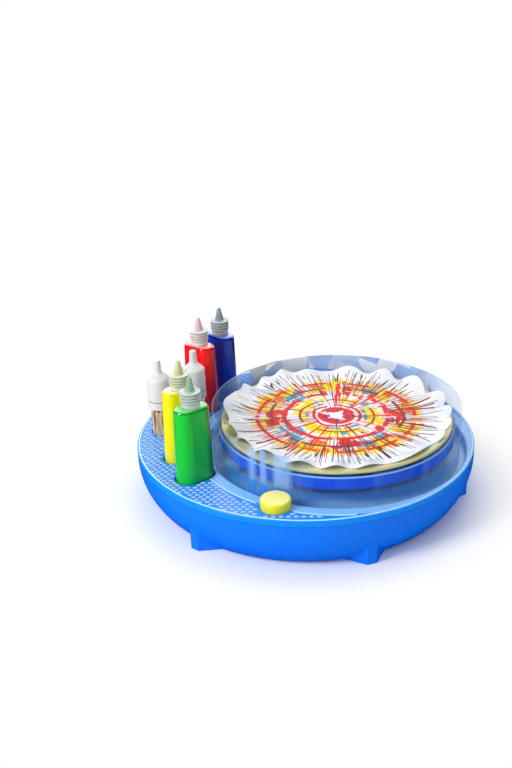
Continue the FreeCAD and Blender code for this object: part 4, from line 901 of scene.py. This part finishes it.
# Smooth white art paper with a painted shade of its folds, laid on as wide random grey blotches, and wet
# acrylic thrown outwards in fine rays and rings.
def paintedPaper(s):
    material, tree, shader = newMaterial("paintedPaper", s["paper"], s["dryRoughness"],
                                         Specular_IOR_Level=s["gloss"])
    point = turntablePoint(tree)
    parts = axes(tree, point)
    reach = maths(tree, "DIVIDE", reachOf(tree, parts), mm)
    flatPoint = addNode(tree, "CombineXYZ", {0: parts[0], 1: parts[1]}).outputs[0]
    heading = addNode(tree, "VectorMath", {0: flatPoint}, operation="NORMALIZE").outputs[0]

    def blots(count, outwards, shift):
        wide = addNode(tree, "VectorMath", {0: heading, 3: count}, operation="SCALE").outputs[0]
        rise = maths(tree, "ADD", maths(tree, "MULTIPLY", reach, outwards), shift)
        lifted = addNode(tree, "CombineXYZ", {2: rise}).outputs[0]
        mixed = addNode(tree, "VectorMath", {0: wide, 1: lifted}, operation="ADD").outputs[0]
        return addNode(tree, "TexNoise", {"Vector": mixed, "Scale": 1.0, "Detail": 2.0}).outputs[0]

    def within(low, high, soft):
        return maths(tree, "MULTIPLY", spread(tree, reach, low - soft, low + soft),
                     spread(tree, reach, high - soft, high + soft, 1.0, 0.0))

    # painted shade: wide random blotches of grey blue, for the shade of the paper's folds
    paintedShadeWash = spread(tree, noise(tree, point, s["shadeSize"], 3.0), 0.45, 0.7, 0.0, 0.35)
    colour = mixColours(tree, paintedShadeWash, s["paper"], s["shade"])
    for name, count, outwards, shift, cut, start, stop, soft in s["blobs"]:
        strength = maths(tree, "MULTIPLY", blots(count, outwards, shift), within(start, stop, soft))
        colour = mixColours(tree, spread(tree, strength, cut, cut + 0.02), colour, s["colours"][name])
    for name, shift, cut, radius, width in s["arcs"]:
        bent = maths(tree, "MULTIPLY_ADD", blots(1.5, 0.0, shift), s["bend"], -s["bend"] / 2 - radius)
        away = maths(tree, "ABSOLUTE", maths(tree, "ADD", reach, bent))
        broken = spread(tree, blots(2.5, 0.0, shift + 50), cut, cut + 0.05)
        band = maths(tree, "MULTIPLY", spread(tree, away, width * 0.5, width * 0.8, 1.0, 0.0), broken)
        colour = mixColours(tree, band, colour, s["colours"][name])
    turn = maths(tree, "DIVIDE", maths(tree, "ARCTAN2", parts[1], parts[0]), 2 * math.pi)
    for name, count, shift, thick, start, stop, cut in s["spokes"]:
        wander = maths(tree, "MULTIPLY", blots(4, 0.004, shift), s["wander"])
        place = maths(tree, "FRACT", maths(tree, "MULTIPLY_ADD", turn, count, wander))
        away = maths(tree, "ABSOLUTE", maths(tree, "SUBTRACT", place, 0.5))
        away = maths(tree, "MULTIPLY", away, maths(tree, "MULTIPLY", reach, 2 * math.pi / count))
        line = spread(tree, away, thick * 0.3, thick * 0.7, 1.0, 0.0)
        ends = within(start, stop, s["ragged"])
        ragged = maths(tree, "MULTIPLY", ends, blots(count / 5, 0.03, shift + 7))
        line = maths(tree, "MULTIPLY", line, spread(tree, ragged, cut, cut + 0.05))
        colour = mixColours(tree, line, colour, s["colours"][name])
    tree.links.new(colour, shader.inputs["Base Color"])
    painted = spread(tree, addNode(tree, "SeparateColor", {0: colour}, mode="HSV").outputs[1], 0.25, 0.5)
    tree.links.new(spread(tree, painted, 0.2, 0.8, s["dryRoughness"], s["wetRoughness"]),
                   shader.inputs["Roughness"])
    addBump(tree, shader, noise(tree, point, s["fibreSize"], 4.0, 0.6), s["fibreDepth"], 0.5)
    return material


paper = makeArtPaper(artPaper)
finishPiece(paper, "ruffledArtPaper", paintedPaper(spinPaint), "turntable")
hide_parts("art_paper")
print("art paper made")

# floor, backdrop and lights; places, sizes and distances are in metres here
studio = {
    "floor": "FFFFFF", "mirrored": "202830", "floorSize": 40, "fade": (0.13, 0.215),
    "worldLight": 0.5, "worldGloss": 0.02, "screenGloss": 3.0, "screenSide": (0.35, 0.75),
    "screenTop": (0.0, 0.2), "aim": (0, 0, 0.05),
}
studioLights = {
    "keyLight": {"place": (-1.0, -0.7, 0.9), "size": (0.5, 0.5), "power": 14},
    "fillLight": {"place": (0.9, -0.9, 0.5), "size": (0.8, 0.5), "power": 0.5},
    "topLight": {"place": (0.1, 0.4, 1.1), "size": (0.9, 0.6), "power": 3.5},
}


# The floor is matt white paper near the object, so that it keeps the shadow, and plain white further off;
# reflections show it dark, so that the glossy walls keep their colour.
def makeStage(s):
    clearSelection()
    bpy.ops.mesh.primitive_plane_add(size=s["floorSize"], location=(0, 0, 0))
    floor = bpy.context.object
    floor.name = "floor"
    material, tree, shader = newMaterial("floorPaper", s["floor"], 0.9, Specular_IOR_Level=0.0)
    away = addNode(tree, "VectorMath", {0: objectPoint(tree)}, operation="LENGTH").outputs["Value"]
    rays = addNode(tree, "LightPath").outputs
    tree.links.new(mixColours(tree, rays["Is Glossy Ray"], s["floor"], s["mirrored"]),
                   shader.inputs["Base Color"])
    plain = addNode(tree, "Emission", {"Color": linear(s["floor"]), "Strength": 1.0}).outputs[0]
    faded = maths(tree, "MULTIPLY", spread(tree, away, *s["fade"]), rays["Is Camera Ray"])
    mixed = addNode(tree, "MixShader", {0: faded, 1: shader.outputs[0], 2: plain}).outputs[0]
    tree.links.new(mixed, tree.nodes["Material Output"].inputs["Surface"])
    floor.data.materials.append(material)


def areaLight(name, s):
    data = bpy.data.lights.new(name, "AREA")
    data.shape = "RECTANGLE"
    data.size, data.size_y = s["size"]
    data.energy = s["power"]
    item = bpy.data.objects.new(name, data)
    item.location = s["place"]
    towards = Vector(studio["aim"]) - Vector(s["place"])
    item.rotation_euler = towards.to_track_quat("-Z", "Y").to_euler()
    scene.collection.objects.link(item)


# Soft white all round; in reflections it is dark but for a bright screen behind the object.
def makeWorld(s):
    world = bpy.data.worlds.new("studioAir")
    scene.world = world
    world.use_nodes = True
    tree = world.node_tree
    tree.nodes.clear()
    rays = addNode(tree, "LightPath").outputs
    seen = maths(tree, "MAXIMUM", rays["Is Camera Ray"], rays["Is Transmission Ray"])
    parts = axes(tree, addNode(tree, "TexCoord").outputs["Generated"])
    screen = maths(tree, "MULTIPLY", spread(tree, parts[1], *s["screenSide"]),
                   spread(tree, parts[2], *s["screenTop"]))
    gloss = spread(tree, screen, 0.0, 1.0, s["worldGloss"], s["screenGloss"])
    soft = addNode(tree, "Mix", {0: rays["Is Glossy Ray"], 2: s["worldLight"], 3: gloss}).outputs[0]
    strength = addNode(tree, "Mix", {0: seen, 2: soft, 3: 1.0}).outputs[0]
    back = addNode(tree, "Background", {"Color": linear("FFFFFF"), "Strength": strength})
    addNode(tree, "OutputWorld", {"Surface": back.outputs[0]})


makeStage(studio)
makeWorld(studio)
for name, light in studioLights.items():
    areaLight(name, light)
print("stage lit")
